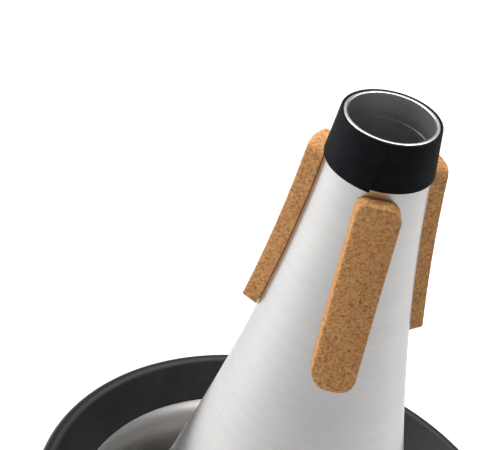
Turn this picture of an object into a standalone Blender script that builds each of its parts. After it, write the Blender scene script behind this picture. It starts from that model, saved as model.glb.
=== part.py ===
"""Adjustable cup mute for a trumpet, standing on its cup with the narrow end up.

A spun aluminium cone carries three corks and a black band. A threaded stem hangs from the cone's end cap,
passes through the hub of the cup, and a knob on its thread sets how far the cup sits from the cone's narrow
end. A compression spring keeps the cup down on the knob. Heights are metres above the foot of the cup.
"""

import math

import bmesh
import bpy
import numpy as np

MM = 0.001

# Clearances
GAP = 0.3 * MM  # between pieces that touch, screw or press together
SKIN_GAP = 0.15 * MM  # between the cone and what is glued on it
RUN_GAP = 0.3 * MM  # around the stem where it slides or screws

# Cone
CONE_LENGTH = 161.0 * MM
CONE_WALL = 0.95 * MM
NECK_RADIUS = 11.2 * MM
NECK_LENGTH = 12.0 * MM
NECK_ROOT_RADIUS = 12.45 * MM
NECK_BORE_LENGTH = 14.0 * MM
FLARE_SLOPE_TOP = 0.075
FLARE_SLOPE_BASE = 0.304
BASE_RADIUS = 44.1 * MM
SEAM_ROUND = 3.0 * MM
SEAM_LIP = 3.2 * MM

# Band round the neck
BAND_HEIGHT = 11.9 * MM
BAND_THICKNESS = 0.45 * MM
BAND_LAP_TURN = math.radians(-88)
BAND_LAP_SPAN = math.radians(75)
BAND_LAP_STEP = 0.25 * MM

# Corks: name, turn round the cone from the photograph's viewing side, top below the narrow end, skew
CORKS = (
    ("cork_front", math.radians(10.4), 14.0 * MM, math.radians(-1.3)),
    ("cork_left", math.radians(-108.0), 12.9 * MM, 0.0),
    ("cork_right", math.radians(126.0), 12.5 * MM, 0.0),
)
CORK_WIDTH = 10.8 * MM
CORK_DEPTH = 48.4 * MM
CORK_THICKNESS = 4.2 * MM
CORK_END = 3.0 * MM
VIEW_SIDE = math.radians(-90)

# Closed end of the cone
CAP_WALL = 0.95 * MM
CAP_FLANGE = 5.0 * MM
CAP_ROUND = 2.0 * MM
POCKET_RADIUS = 18.0 * MM

# Cup
CUP_HEIGHT = 67.6 * MM
CUP_LIP_RADIUS = 64.0 * MM
CUP_WALL = 1.0 * MM
FLANGE_SLOPE = math.radians(42)
FLANGE_LENGTH = 10.0 * MM
BOWL_GAP = 5.4 * MM  # air between the cone's base and the bowl's wall
BOWL_SHOULDER = 8.0 * MM
BOWL_TAPER = 2.0 * MM
BOWL_WAIST = 38.0 * MM
FOOT_ROUND = 11.0 * MM
RECESS_RADIUS = 30.0 * MM
RECESS_ROUND = 4.5 * MM
FLOOR_RISE = 12.8 * MM
RIM_LEG = 1.7 * MM

# Hub and its rivets
HUB_RADIUS = 16.0 * MM
HUB_FLANGE = 2.0 * MM
HUB_NECK_RADIUS = 9.0 * MM
HUB_PLATE = 1.2 * MM
RIVET_COUNT = 3
RIVET_CIRCLE = 13.0 * MM
RIVET_RADIUS = 1.25 * MM
RIVET_HEAD_RADIUS = 2.1 * MM
RIVET_HEAD = 0.9 * MM

# Adjusting screw
TRAVEL = 14.0 * MM
TRAVEL_SPARE = 1.5 * MM
STEM_RADIUS = 4.0 * MM
STEM_FLAT = 3.3 * MM
COLLAR_RADIUS = 8.6 * MM
COLLAR_THICKNESS = 1.5 * MM
NUT_ACROSS_FLATS = 13.0 * MM
NUT_HEIGHT = 3.5 * MM
STEM_WASHER_RADIUS = 8.0 * MM
WASHER_THICKNESS = 1.0 * MM
STEM_END_PROUD = 0.6 * MM

# Spring
SPRING_WIRE = 1.2 * MM
SPRING_RADIUS = 7.2 * MM
SPRING_CURLS = 6
CURL_POINTS = 10
SPRING_SOLID_SPARE = 1.2 * MM

# Knob
KNOB_RADIUS = 15.0 * MM
KNOB_HEIGHT = 7.5 * MM
KNOB_FLUTES = 14
KNOB_FLUTE_DEPTH = 0.8 * MM
KNOB_ROUND = 1.2 * MM
THRUST_WASHER_RADIUS = 9.0 * MM
INSERT_RADIUS = 6.5 * MM
INSERT_FLANGE_RADIUS = 8.0 * MM
INSERT_FLANGE = 1.2 * MM
INSERT_HEIGHT = 4.9 * MM
COUNTERBORE_RADIUS = 8.6 * MM

# Stop at the stem's lower end
STOP_WASHER_RADIUS = 6.0 * MM
STOP_WASHER_THICKNESS = 0.8 * MM
SCREW_RADIUS = 1.5 * MM
SCREW_LENGTH = 8.0 * MM
SCREW_HEAD_RADIUS = 3.0 * MM
SCREW_HEAD = 1.5 * MM
SCREW_SOCKET_RADIUS = 1.1 * MM
SCREW_SOCKET_DEPTH = 0.8 * MM

# Facets
LARGE_SEGMENTS = 48
MEDIUM_SEGMENTS = 32
SMALL_SEGMENTS = 16
ARC_STEPS = 3

# Sizes and heights that follow from those above
BOWL_RADIUS = BASE_RADIUS + BOWL_GAP + CUP_WALL / 2
FLOOR_TOP = FLOOR_RISE + CUP_WALL
HUB_TOP = FLOOR_TOP + GAP + HUB_FLANGE
SPRING_BOTTOM = HUB_TOP + GAP
SPRING_LENGTH = (SPRING_CURLS + 1) * SPRING_WIRE + SPRING_SOLID_SPARE + TRAVEL
COLLAR_BOTTOM = SPRING_BOTTOM + SPRING_LENGTH + GAP
COLLAR_TOP = COLLAR_BOTTOM + COLLAR_THICKNESS
ROOF_BOTTOM = COLLAR_TOP + GAP
ROOF_TOP = ROOF_BOTTOM + CAP_WALL
STEM_WASHER_BOTTOM = ROOF_TOP + GAP
NUT_BOTTOM = STEM_WASHER_BOTTOM + WASHER_THICKNESS + GAP
STEM_TOP = NUT_BOTTOM + NUT_HEIGHT + STEM_END_PROUD
SEAM_BOTTOM = FLOOR_TOP + TRAVEL + TRAVEL_SPARE
CAP_BOTTOM = SEAM_BOTTOM + CONE_WALL + GAP
CONE_TOP = SEAM_BOTTOM + CONE_LENGTH
PLATE_BOTTOM = FLOOR_RISE - GAP - HUB_PLATE
THRUST_WASHER_BOTTOM = PLATE_BOTTOM - GAP - WASHER_THICKNESS
KNOB_TOP = THRUST_WASHER_BOTTOM - GAP
KNOB_BOTTOM = KNOB_TOP - KNOB_HEIGHT
INSERT_BOTTOM = KNOB_TOP - INSERT_HEIGHT
STEM_BOTTOM = INSERT_BOTTOM
STOP_WASHER_TOP = STEM_BOTTOM - GAP
SCREW_HEAD_TOP = STOP_WASHER_TOP - STOP_WASHER_THICKNESS - GAP
BORE_RADIUS = STEM_RADIUS + RUN_GAP
RIM_HALF = RIM_LEG + GAP + CUP_WALL / 2


def clear_scene():
    for old in list(bpy.data.objects):
        bpy.data.objects.remove(old)


def material(name, colour, roughness, metallic=0.0):
    made = bpy.data.materials.new(name)
    made.use_nodes = True
    shader = made.node_tree.nodes["Principled BSDF"]
    shader.inputs["Base Color"].default_value = (*colour, 1)
    shader.inputs["Roughness"].default_value = roughness
    shader.inputs["Metallic"].default_value = metallic
    made.diffuse_color = (*colour, 1)
    return made


def arc(centre, radius, start, end, steps=ARC_STEPS):
    """Points (r, z) of an arc between two angles in degrees, both ends included."""
    angles = np.radians(np.linspace(start, end, steps + 1))
    return [(centre[0] + radius * math.cos(a), centre[1] + radius * math.sin(a)) for a in angles]


def bezier(p0, p1, p2, p3, steps):
    ends = np.array([p0, p1, p2, p3])
    t = np.linspace(0, 1, steps + 1)[:, None]
    points = (1 - t) ** 3 * ends[0] + 3 * t * (1 - t) ** 2 * ends[1] + 3 * t**2 * (1 - t) * ends[2] + t**3 * ends[3]
    return [tuple(p) for p in points]


def tidy(line):
    """The line without points that repeat the one before them."""
    kept = [line[0]]
    for point in line[1:]:
        if math.dist(point, kept[-1]) > 0.01 * MM:
            kept.append(point)
    return kept


def offset(line, distance):
    """The open line moved sideways, to its left as it runs, with mitred corners."""
    points = np.array(line)
    steps = np.diff(points, axis=0)
    steps /= np.linalg.norm(steps, axis=1)[:, None]
    normals = np.column_stack([-steps[:, 1], steps[:, 0]])
    before = np.vstack([normals[:1], normals])
    after = np.vstack([normals, normals[-1:]])
    mitre = before + after
    mitre /= (mitre * before).sum(axis=1)[:, None]
    return [tuple(p) for p in points + distance * mitre]


def sheet_outline(middle, wall):
    """The closed outline of a sheet of this wall, from the line along its middle."""
    line = tidy(middle)
    return offset(line, wall / 2) + offset(line, -wall / 2)[::-1]


def lathe(outline, segments, reshape=None):
    """A mesh turned round Z from a closed (r, z) outline; reshape(x, y, r, z) may move a point sideways."""
    area = sum(a[0] * b[1] - b[0] * a[1] for a, b in zip(outline, outline[1:] + outline[:1]))
    if area < 0:
        outline = outline[::-1]
    bm = bmesh.new()
    rings = []
    for r, z in outline:
        if r < 0.001 * MM:
            rings.append([bm.verts.new((0, 0, z))] * segments)
            continue
        ring = []
        for i in range(segments):
            turn = 2 * math.pi * i / segments
            x, y = r * math.cos(turn), r * math.sin(turn)
            if reshape:
                x, y = reshape(x, y, r, z)
            ring.append(bm.verts.new((x, y, z)))
        rings.append(ring)
    for lower, upper in zip(rings, rings[1:] + rings[:1]):
        for i in range(segments):
            j = (i + 1) % segments
            corners = []
            for corner in (lower[i], lower[j], upper[j], upper[i]):
                if corner not in corners:
                    corners.append(corner)
            if len(corners) > 2:
                bm.faces.new(corners)
    return mesh_from(bm)


def mesh_from(bm):
    mesh = bpy.data.meshes.new("shape")
    bm.to_mesh(mesh)
    bm.free()
    return mesh


def place(name, mesh, finish, body, level=0.0):
    """A named object on its body, with its origin on the axis at this height."""
    mesh.materials.clear()
    mesh.materials.append(finish)
    mesh.shade_smooth()
    mesh.set_sharp_from_angle(angle=math.radians(35))
    made = bpy.data.objects.new(name, mesh)
    bpy.context.scene.collection.objects.link(made)
    made.location.z = level
    made.parent = body
    return made


def turned(name, outline, finish, body, segments, reshape=None):
    """A turned piece whose origin lies on the axis at its own lowest point."""
    level = min(z for _, z in outline)
    local = [(r, z - level) for r, z in outline]
    return place(name, lathe(local, segments, reshape), finish, body, level)


def ring_outline(inner, outer, bottom, top):
    return [(inner, bottom), (outer, bottom), (outer, top), (inner, top)]


def body_empty(name):
    """An empty on the mute's axis that carries the pieces of one moving body."""
    made = bpy.data.objects.new(name, None)
    bpy.context.scene.collection.objects.link(made)
    return made


def flare_radius(depth):
    """Outer radius of the cone at a depth below its narrow end: a straight neck, then one cubic flare."""
    if depth <= NECK_LENGTH:
        return NECK_RADIUS + (NECK_ROOT_RADIUS - NECK_RADIUS) * depth / NECK_LENGTH
    span = CONE_LENGTH - SEAM_ROUND - NECK_LENGTH
    t = (depth - NECK_LENGTH) / span
    return (
        (2 * t**3 - 3 * t**2 + 1) * NECK_ROOT_RADIUS
        + (t**3 - 2 * t**2 + t) * span * FLARE_SLOPE_TOP
        + (3 * t**2 - 2 * t**3) * BASE_RADIUS
        + (t**3 - t**2) * span * FLARE_SLOPE_BASE
    )


def flare_line(first, last, steps):
    """Points (r, z) down the cone's outer surface between two depths."""
    return [(flare_radius(d), CONE_TOP - d) for d in np.linspace(first, last, steps + 1)]


def make_cone(finish, body):
    seam_top = CONE_LENGTH - SEAM_ROUND
    outer = flare_line(0, NECK_LENGTH, 1) + flare_line(NECK_LENGTH, seam_top, 11)
    outer += arc((BASE_RADIUS - SEAM_ROUND, SEAM_BOTTOM + SEAM_ROUND), SEAM_ROUND, 0, -90)
    outer.append((BASE_RADIUS - SEAM_ROUND - SEAM_LIP, SEAM_BOTTOM))
    outer = tidy(outer)
    inner = offset(outer, -CONE_WALL)
    bore_end = CONE_TOP - NECK_BORE_LENGTH
    bore_radius = NECK_RADIUS - CONE_WALL
    bore_step = flare_radius(NECK_BORE_LENGTH + CONE_WALL) - CONE_WALL
    spun = [p for p in inner if p[1] < bore_end - CONE_WALL]
    inner = [(bore_radius, CONE_TOP), (bore_radius, bore_end), (bore_step, bore_end - CONE_WALL)] + spun
    turned("cone", outer + inner[::-1], finish, body, LARGE_SEGMENTS)


def make_neck_band(finish, body):
    inner = [(r + SKIN_GAP, z) for r, z in flare_line(0, BAND_HEIGHT, 2)]
    outer = [(r + BAND_THICKNESS, z) for r, z in inner]
    lap_end = BAND_LAP_TURN - BAND_LAP_SPAN

    def lap(x, y, r, z):
        """Thickens the outer side along the lap, from the seam back to where the tape starts."""
        turn = math.atan2(y, x)
        behind = (turn - lap_end) % (2 * math.pi)
        on_outer = r > flare_radius(CONE_TOP - z - level) + SKIN_GAP + BAND_THICKNESS / 2
        if not on_outer or behind > BAND_LAP_SPAN:
            return x, y
        grow = 1 + BAND_LAP_STEP * min(1, behind / BAND_LAP_SPAN * 2) / r
        return x * grow, y * grow

    level = min(z for _, z in inner)
    turned("neck_band", inner + outer[::-1], finish, body, LARGE_SEGMENTS, lap)


def make_cork(name, turn, top, skew, finish, body):
    """A strip cut from cork sheet, bent round the cone, with rounded ends."""
    rows = 12
    columns = 4
    half = CORK_WIDTH / 2
    middle = top + CORK_DEPTH / 2
    bm = bmesh.new()
    faces = []
    for height in (0, CORK_THICKNESS):
        grid = []
        for i in range(rows + 1):
            along = (1 - math.cos(math.pi * i / rows)) / 2 * CORK_DEPTH
            end = min(along, CORK_DEPTH - along, CORK_END)
            width = half * math.sqrt(max(0.12, 1 - (1 - end / CORK_END) ** 2))
            depth = top + along
            slope = (flare_radius(depth + MM) - flare_radius(depth - MM)) / (2 * MM)
            lean = math.hypot(1, slope)
            radius = flare_radius(depth) + (SKIN_GAP + height) / lean
            z = CONE_TOP - depth + (SKIN_GAP + height) * slope / lean
            lead = (depth - middle) * math.tan(skew) / radius
            row = []
            for j in range(columns + 1):
                side = width * (2 * j / columns - 1)
                around = math.asin(side / radius) + lead
                row.append(bm.verts.new((radius * math.cos(around), radius * math.sin(around), z)))
            grid.append(row)
        faces.append(grid)
    inner, outer = faces
    for i in range(rows):
        for j in range(columns):
            bm.faces.new((outer[i][j], outer[i + 1][j], outer[i + 1][j + 1], outer[i][j + 1]))
            bm.faces.new((inner[i][j], inner[i][j + 1], inner[i + 1][j + 1], inner[i + 1][j]))
        bm.faces.new((inner[i][0], inner[i + 1][0], outer[i + 1][0], outer[i][0]))
        bm.faces.new((inner[i + 1][-1], inner[i][-1], outer[i][-1], outer[i + 1][-1]))
    for j in range(columns):
        bm.faces.new((inner[0][j + 1], inner[0][j], outer[0][j], outer[0][j + 1]))
        bm.faces.new((inner[-1][j], inner[-1][j + 1], outer[-1][j + 1], outer[-1][j]))
    made = place(name, mesh_from(bm), finish, body)
    made.rotation_euler.z = VIEW_SIDE + turn


def make_end_cap(finish, body):
    """The spun disc that closes the cone, with a pocket for the spring and an upturned edge."""
    edge_depth = CONE_LENGTH - SEAM_ROUND
    edge_radius = flare_radius(edge_depth) - CONE_WALL - GAP - CAP_WALL / 2
    low = CAP_BOTTOM + CAP_WALL / 2
    rise = CAP_ROUND + CAP_FLANGE
    edge_top = edge_radius - rise * FLARE_SLOPE_BASE
    middle = [(edge_top, low + rise)]
    middle += arc((edge_radius - CAP_ROUND - CAP_ROUND / 2, low + CAP_ROUND), CAP_ROUND, 0, -90)
    middle += arc((POCKET_RADIUS + CAP_ROUND, low + CAP_ROUND), CAP_ROUND, -90, -180)
    middle += arc((POCKET_RADIUS - CAP_ROUND, ROOF_BOTTOM + CAP_WALL / 2 - CAP_ROUND), CAP_ROUND, 0, 90)
    middle.append((BORE_RADIUS, ROOF_BOTTOM + CAP_WALL / 2))
    turned("end_cap", sheet_outline(middle, CAP_WALL), finish, body, LARGE_SEGMENTS)


def flatten(x, y, r, z):
    """The two flats that keep the cup from turning on the stem."""
    return max(-STEM_FLAT, min(STEM_FLAT, x)), y


def make_stem(finish, body):
    """Threaded rod with a collar, two flats below the collar and a tapped hole in its lower end."""
    hole = SCREW_RADIUS + RUN_GAP
    hole_top = STEM_BOTTOM + SCREW_LENGTH
    outline = [
        (0, hole_top),
        (hole, hole_top - hole / 2),
        (hole, STEM_BOTTOM),
        (STEM_RADIUS - hole / 4, STEM_BOTTOM),
        (STEM_RADIUS, STEM_BOTTOM + hole / 4),
        (STEM_RADIUS, COLLAR_BOTTOM),
        (COLLAR_RADIUS, COLLAR_BOTTOM),
        (COLLAR_RADIUS, COLLAR_TOP),
        (STEM_RADIUS, COLLAR_TOP),
        (STEM_RADIUS, STEM_TOP - STEM_END_PROUD),
        (STEM_RADIUS - STEM_END_PROUD, STEM_TOP),
        (0, STEM_TOP),
    ]
    collar_local = COLLAR_BOTTOM - STEM_BOTTOM

    def flats(x, y, r, z):
        on_shaft = z <= collar_local and r <= STEM_RADIUS
        return flatten(x, y, r, z) if on_shaft else (x, y)

    turned("stem", outline, finish, body, MEDIUM_SEGMENTS, flats)


def make_stem_washer(finish, body):
    top = STEM_WASHER_BOTTOM + WASHER_THICKNESS
    outline = ring_outline(BORE_RADIUS, STEM_WASHER_RADIUS, STEM_WASHER_BOTTOM, top)
    turned("stem_washer", outline, finish, body, MEDIUM_SEGMENTS)


def make_stem_nut(finish, body):
    across_corners = NUT_ACROSS_FLATS / math.cos(math.pi / 6) / 2
    outline = ring_outline(BORE_RADIUS, across_corners, NUT_BOTTOM, NUT_BOTTOM + NUT_HEIGHT)

    def hexagon(x, y, r, z):
        if r <= BORE_RADIUS:
            return x, y
        turn = math.atan2(y, x) % (math.pi / 3) - math.pi / 6
        scale = NUT_ACROSS_FLATS / 2 / math.cos(turn) / r
        return x * scale, y * scale

    turned("stem_nut", outline, finish, body, 24, hexagon)


def rim_line():
    """Middle line (r, z) of the cup's flared flange, from its edge inwards and down."""
    edge = (CUP_LIP_RADIUS - RIM_HALF, CUP_HEIGHT - RIM_HALF)
    run = (-math.cos(FLANGE_SLOPE), -math.sin(FLANGE_SLOPE))
    end = (edge[0] + FLANGE_LENGTH * run[0], edge[1] + FLANGE_LENGTH * run[1])
    return edge, end, run


def make_cup_bowl(finish, body, cutters):
    edge, end, run = rim_line()
    shoulder = (end[0] + BOWL_SHOULDER * run[0], end[1] + BOWL_SHOULDER * run[1])
    waist = (BOWL_RADIUS + BOWL_TAPER, BOWL_WAIST)
    half = CUP_WALL / 2
    middle = [edge]
    middle += bezier(end, shoulder, waist, (BOWL_RADIUS, half + FOOT_ROUND), 6)
    middle += arc((BOWL_RADIUS - FOOT_ROUND, half + FOOT_ROUND), FOOT_ROUND, 0, -90, 5)
    middle += arc((RECESS_RADIUS + RECESS_ROUND, half + RECESS_ROUND), RECESS_ROUND, -90, -180)
    floor = FLOOR_RISE + half
    middle += arc((RECESS_RADIUS - RECESS_ROUND, floor - RECESS_ROUND), RECESS_ROUND, 0, 90)
    middle.append((HUB_NECK_RADIUS + GAP, floor))
    bowl = turned("cup_bowl", sheet_outline(middle, CUP_WALL), finish, body, LARGE_SEGMENTS)
    drill(bowl, cutters)


def make_cup_rim_ring(finish, body):
    """Rubber edging whose groove takes the cup's flange."""
    edge, end, run = rim_line()
    slope = math.degrees(FLANGE_SLOPE)
    groove = CUP_WALL / 2 + GAP
    left = (-math.sin(FLANGE_SLOPE), math.cos(FLANGE_SLOPE))

    def beside(point, distance):
        return point[0] + distance * left[0], point[1] + distance * left[1]

    soft = RIM_LEG / 3
    inner_end = (end[0] - soft * run[0], end[1] - soft * run[1])
    groove_top = (edge[0] - GAP * run[0], edge[1] - GAP * run[1])
    outline = arc(edge, RIM_HALF, slope + 90, slope - 90, 7)
    outline += [
        beside(inner_end, -RIM_HALF),
        beside(end, -RIM_HALF + soft),
        beside(end, -groove),
        beside(groove_top, -groove),
        beside(groove_top, groove),
        beside(end, groove),
        beside(end, RIM_HALF - soft),
        beside(inner_end, RIM_HALF),
    ]
    turned("cup_rim_ring", outline, finish, body, LARGE_SEGMENTS)


def rivet_places():
    for i in range(RIVET_COUNT):
        turn = 2 * math.pi * i / RIVET_COUNT + math.pi / 6
        yield RIVET_CIRCLE * math.cos(turn), RIVET_CIRCLE * math.sin(turn)


def rivet_cutters():
    """One helper with a drill at each rivet, long enough for hub, floor and plate."""
    bm = bmesh.new()
    for x, y in rivet_places():
        made = bmesh.ops.create_cone(
            bm,
            cap_ends=True,
            segments=SMALL_SEGMENTS,
            radius1=RIVET_RADIUS + GAP,
            radius2=RIVET_RADIUS + GAP,
            depth=4 * FLOOR_RISE,
        )
        bmesh.ops.translate(bm, vec=(x, y, FLOOR_RISE), verts=made["verts"])
    cutter = bpy.data.objects.new("rivet_drills", mesh_from(bm))
    bpy.context.scene.collection.objects.link(cutter)
    cutter.hide_render = True
    cutter.display_type = "WIRE"
    return cutter


def drill(target, cutter):
    cut = target.modifiers.new("rivet holes", "BOOLEAN")
    cut.operation = "DIFFERENCE"
    cut.object = cutter


def make_cup_hub(finish, body, cutters):
    """Flanged bush on the cup's floor, with a bore flattened like the stem."""
    flange_bottom = FLOOR_TOP + GAP
    outline = [
        (BORE_RADIUS, PLATE_BOTTOM),
        (HUB_NECK_RADIUS, PLATE_BOTTOM),
        (HUB_NECK_RADIUS, flange_bottom),
        (HUB_RADIUS, flange_bottom),
        (HUB_RADIUS, HUB_TOP - HUB_FLANGE / 4),
        (HUB_RADIUS - HUB_FLANGE / 4, HUB_TOP),
        (BORE_RADIUS, HUB_TOP),
    ]

    def keyed(x, y, r, z):
        flat = STEM_FLAT + RUN_GAP
        return (max(-flat, min(flat, x)), y) if r <= BORE_RADIUS else (x, y)

    drill(turned("cup_hub", outline, finish, body, MEDIUM_SEGMENTS, keyed), cutters)


def make_hub_plate(finish, body, cutters):
    outline = ring_outline(HUB_NECK_RADIUS + GAP, HUB_RADIUS, PLATE_BOTTOM, PLATE_BOTTOM + HUB_PLATE)
    drill(turned("hub_plate", outline, finish, body, MEDIUM_SEGMENTS), cutters)


def make_hub_rivets(finish, body):
    """Rivets through the hub's flange, the cup's floor and the plate below it."""
    head = HUB_TOP + GAP
    tail = PLATE_BOTTOM - GAP
    outline = [
        (0, tail - RIVET_HEAD / 2),
        (RIVET_HEAD_RADIUS * 0.8, tail - RIVET_HEAD / 2),
        (RIVET_HEAD_RADIUS, tail),
        (RIVET_RADIUS, tail),
        (RIVET_RADIUS, head),
        (RIVET_HEAD_RADIUS, head),
        (RIVET_HEAD_RADIUS * 0.75, head + RIVET_HEAD * 0.7),
        (0, head + RIVET_HEAD),
    ]
    level = outline[0][1]
    mesh = lathe([(r, z - level) for r, z in outline], 12)
    for i, (x, y) in enumerate(rivet_places(), start=1):
        rivet = place(f"hub_rivet_{i}", mesh, finish, body, level)
        rivet.location.x = x
        rivet.location.y = y


def spring_points():
    """Centre line of the spring: a helix whose two ends run straight for one wire diameter."""
    low = SPRING_BOTTOM + SPRING_WIRE / 2
    climb = SPRING_LENGTH - SPRING_WIRE
    count = SPRING_CURLS * CURL_POINTS
    turns = np.linspace(0, 2 * math.pi * SPRING_CURLS, count + 1)
    helix = np.column_stack([
        SPRING_RADIUS * np.cos(turns),
        SPRING_RADIUS * np.sin(turns),
        low + climb * np.linspace(0, 1, count + 1),
    ])
    first = helix[0] - np.array([0, SPRING_WIRE, 0])
    last = helix[-1] + np.array([0, SPRING_WIRE, 0])
    return np.vstack([first, helix, last])


def least_gap(points):
    """The smallest clear distance between one curl of the spring and the next."""
    skip = CURL_POINTS // 2
    gaps = [
        np.linalg.norm(points[i + skip :] - points[i], axis=1).min() for i in range(len(points) - skip)
    ]
    return min(gaps) - SPRING_WIRE


def make_spring(finish, body):
    points = spring_points()
    print(f"spring: {SPRING_CURLS} curls, least gap to itself {least_gap(points) / MM:.2f} mm")
    curve = bpy.data.curves.new("spring", "CURVE")
    curve.dimensions = "3D"
    curve.bevel_depth = SPRING_WIRE / 2
    curve.bevel_resolution = 1
    curve.use_fill_caps = True
    spline = curve.splines.new("POLY")
    spline.points.add(len(points) - 1)
    for point, (x, y, z) in zip(spline.points, points):
        point.co = (x, y, z - SPRING_BOTTOM, 1)
    curve.materials.append(finish)
    made = bpy.data.objects.new("spring", curve)
    bpy.context.scene.collection.objects.link(made)
    made.location.z = SPRING_BOTTOM
    made.parent = body


def make_thrust_washer(finish, body):
    top = THRUST_WASHER_BOTTOM + WASHER_THICKNESS
    outline = ring_outline(BORE_RADIUS, THRUST_WASHER_RADIUS, THRUST_WASHER_BOTTOM, top)
    turned("thrust_washer", outline, finish, body, MEDIUM_SEGMENTS)


def make_knob(finish, body):
    """Fluted thumb wheel with a seat for its insert above and room for the stop below."""
    seat = KNOB_TOP - INSERT_FLANGE - GAP
    web_bottom = INSERT_BOTTOM - GAP
    outline = [
        (INSERT_RADIUS + GAP, seat),
        (INSERT_RADIUS + GAP, web_bottom),
        (COUNTERBORE_RADIUS, web_bottom),
        (COUNTERBORE_RADIUS, KNOB_BOTTOM),
    ]
    outline += arc((KNOB_RADIUS - KNOB_ROUND, KNOB_BOTTOM + KNOB_ROUND), KNOB_ROUND, -90, 0, 2)
    outline += arc((KNOB_RADIUS - KNOB_ROUND, KNOB_TOP - KNOB_ROUND), KNOB_ROUND, 0, 90, 2)
    outline += [(INSERT_FLANGE_RADIUS + GAP, KNOB_TOP), (INSERT_FLANGE_RADIUS + GAP, seat)]

    def flutes(x, y, r, z):
        if r < KNOB_RADIUS - 1.01 * KNOB_ROUND:
            return x, y
        turn = math.atan2(y, x)
        scale = 1 - KNOB_FLUTE_DEPTH * (1 - math.cos(KNOB_FLUTES * turn)) / 2 / r
        return x * scale, y * scale

    turned("knob", outline, finish, body, 4 * KNOB_FLUTES, flutes)


def make_knob_insert(finish, body):
    """Flanged nut pressed into the knob; it runs on the stem's thread."""
    flange_bottom = KNOB_TOP - INSERT_FLANGE
    outline = [
        (BORE_RADIUS, INSERT_BOTTOM),
        (INSERT_RADIUS, INSERT_BOTTOM),
        (INSERT_RADIUS, flange_bottom),
        (INSERT_FLANGE_RADIUS, flange_bottom),
        (INSERT_FLANGE_RADIUS, KNOB_TOP),
        (BORE_RADIUS, KNOB_TOP),
    ]
    turned("knob_insert", outline, finish, body, MEDIUM_SEGMENTS)


def make_stop(washer_finish, screw_finish, body):
    """Washer and screw at the stem's lower end, which keep the knob from running off."""
    hole = SCREW_RADIUS + GAP
    washer_bottom = STOP_WASHER_TOP - STOP_WASHER_THICKNESS
    washer = ring_outline(hole, STOP_WASHER_RADIUS, washer_bottom, STOP_WASHER_TOP)
    turned("stop_washer", washer, washer_finish, body, SMALL_SEGMENTS)
    head_bottom = SCREW_HEAD_TOP - SCREW_HEAD
    shank_top = SCREW_HEAD_TOP + GAP + STOP_WASHER_THICKNESS + SCREW_LENGTH * 3 / 4
    screw = [
        (0, head_bottom + SCREW_SOCKET_DEPTH),
        (SCREW_SOCKET_RADIUS, head_bottom + SCREW_SOCKET_DEPTH),
        (SCREW_SOCKET_RADIUS, head_bottom),
        (SCREW_HEAD_RADIUS * 0.7, head_bottom),
        (SCREW_HEAD_RADIUS, head_bottom + SCREW_HEAD / 2),
        (SCREW_HEAD_RADIUS, SCREW_HEAD_TOP),
        (SCREW_RADIUS, SCREW_HEAD_TOP),
        (SCREW_RADIUS, shank_top),
        (0, shank_top),
    ]
    turned("stop_screw", screw, screw_finish, body, SMALL_SEGMENTS)


def main():
    clear_scene()
    aluminium = material("spun_aluminium", (0.80, 0.80, 0.79), 0.32, 1.0)
    plate = material("bright_steel", (0.62, 0.62, 0.62), 0.28, 1.0)
    brass = material("brass", (0.78, 0.60, 0.28), 0.30, 1.0)
    cork = material("cork", (0.62, 0.38, 0.19), 0.85)
    flock = material("black_flock", (0.012, 0.012, 0.014), 0.95)
    rubber = material("black_rubber", (0.03, 0.03, 0.032), 0.55)
    plastic = material("black_plastic", (0.02, 0.02, 0.022), 0.42)
    nylon = material("white_nylon", (0.78, 0.77, 0.72), 0.45)

    cup = body_empty("cup_body")
    cone = body_empty("cone_body")
    knob = body_empty("knob_body")

    make_cone(aluminium, cone)
    make_neck_band(flock, cone)
    for name, turn, top, skew in CORKS:
        make_cork(name, turn, top, skew, cork, cone)
    make_end_cap(aluminium, cone)
    make_stem(plate, cone)
    make_stem_washer(plate, cone)
    make_stem_nut(plate, cone)
    make_stop(plate, plate, cone)

    drills = rivet_cutters()
    make_cup_bowl(aluminium, cup, drills)
    make_cup_rim_ring(rubber, cup)
    make_cup_hub(nylon, cup, drills)
    make_hub_plate(plate, cup, drills)
    make_hub_rivets(plate, cup)
    make_spring(plate, cup)
    make_thrust_washer(nylon, cup)

    make_knob(plastic, knob)
    make_knob_insert(brass, knob)


main()
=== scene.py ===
"""Looks of an adjustable cup mute for a trumpet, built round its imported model.

Every size is in metres, in the model's own frame: Z runs up the mute's axis from the foot of the cup. Outlines
are lists of (r, z) points. The settings in the sidebar panel hold what a user would change.
"""

import math

import bmesh
import bpy
import numpy as np
from bpy.props import FloatProperty, FloatVectorProperty, IntProperty, PointerProperty
from mathutils import Matrix, Vector, noise


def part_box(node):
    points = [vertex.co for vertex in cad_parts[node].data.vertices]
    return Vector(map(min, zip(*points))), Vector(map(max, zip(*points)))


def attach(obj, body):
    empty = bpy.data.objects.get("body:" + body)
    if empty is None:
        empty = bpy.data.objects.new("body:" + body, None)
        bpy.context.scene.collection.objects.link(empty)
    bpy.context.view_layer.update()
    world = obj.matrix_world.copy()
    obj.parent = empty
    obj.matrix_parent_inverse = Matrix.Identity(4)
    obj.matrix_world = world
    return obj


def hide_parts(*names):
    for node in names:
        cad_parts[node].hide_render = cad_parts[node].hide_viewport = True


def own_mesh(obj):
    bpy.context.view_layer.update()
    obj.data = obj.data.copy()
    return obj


bl_info = {
    "name": "Trumpet cup mute looks",
    "version": (1, 0, 0),
    "blender": (4, 5, 0),
    "location": "3D View > Sidebar > Cup Mute",
    "description": "Builds the visible surfaces, lights and camera of an adjustable trumpet cup mute",
    "category": "Object",
}

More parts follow.
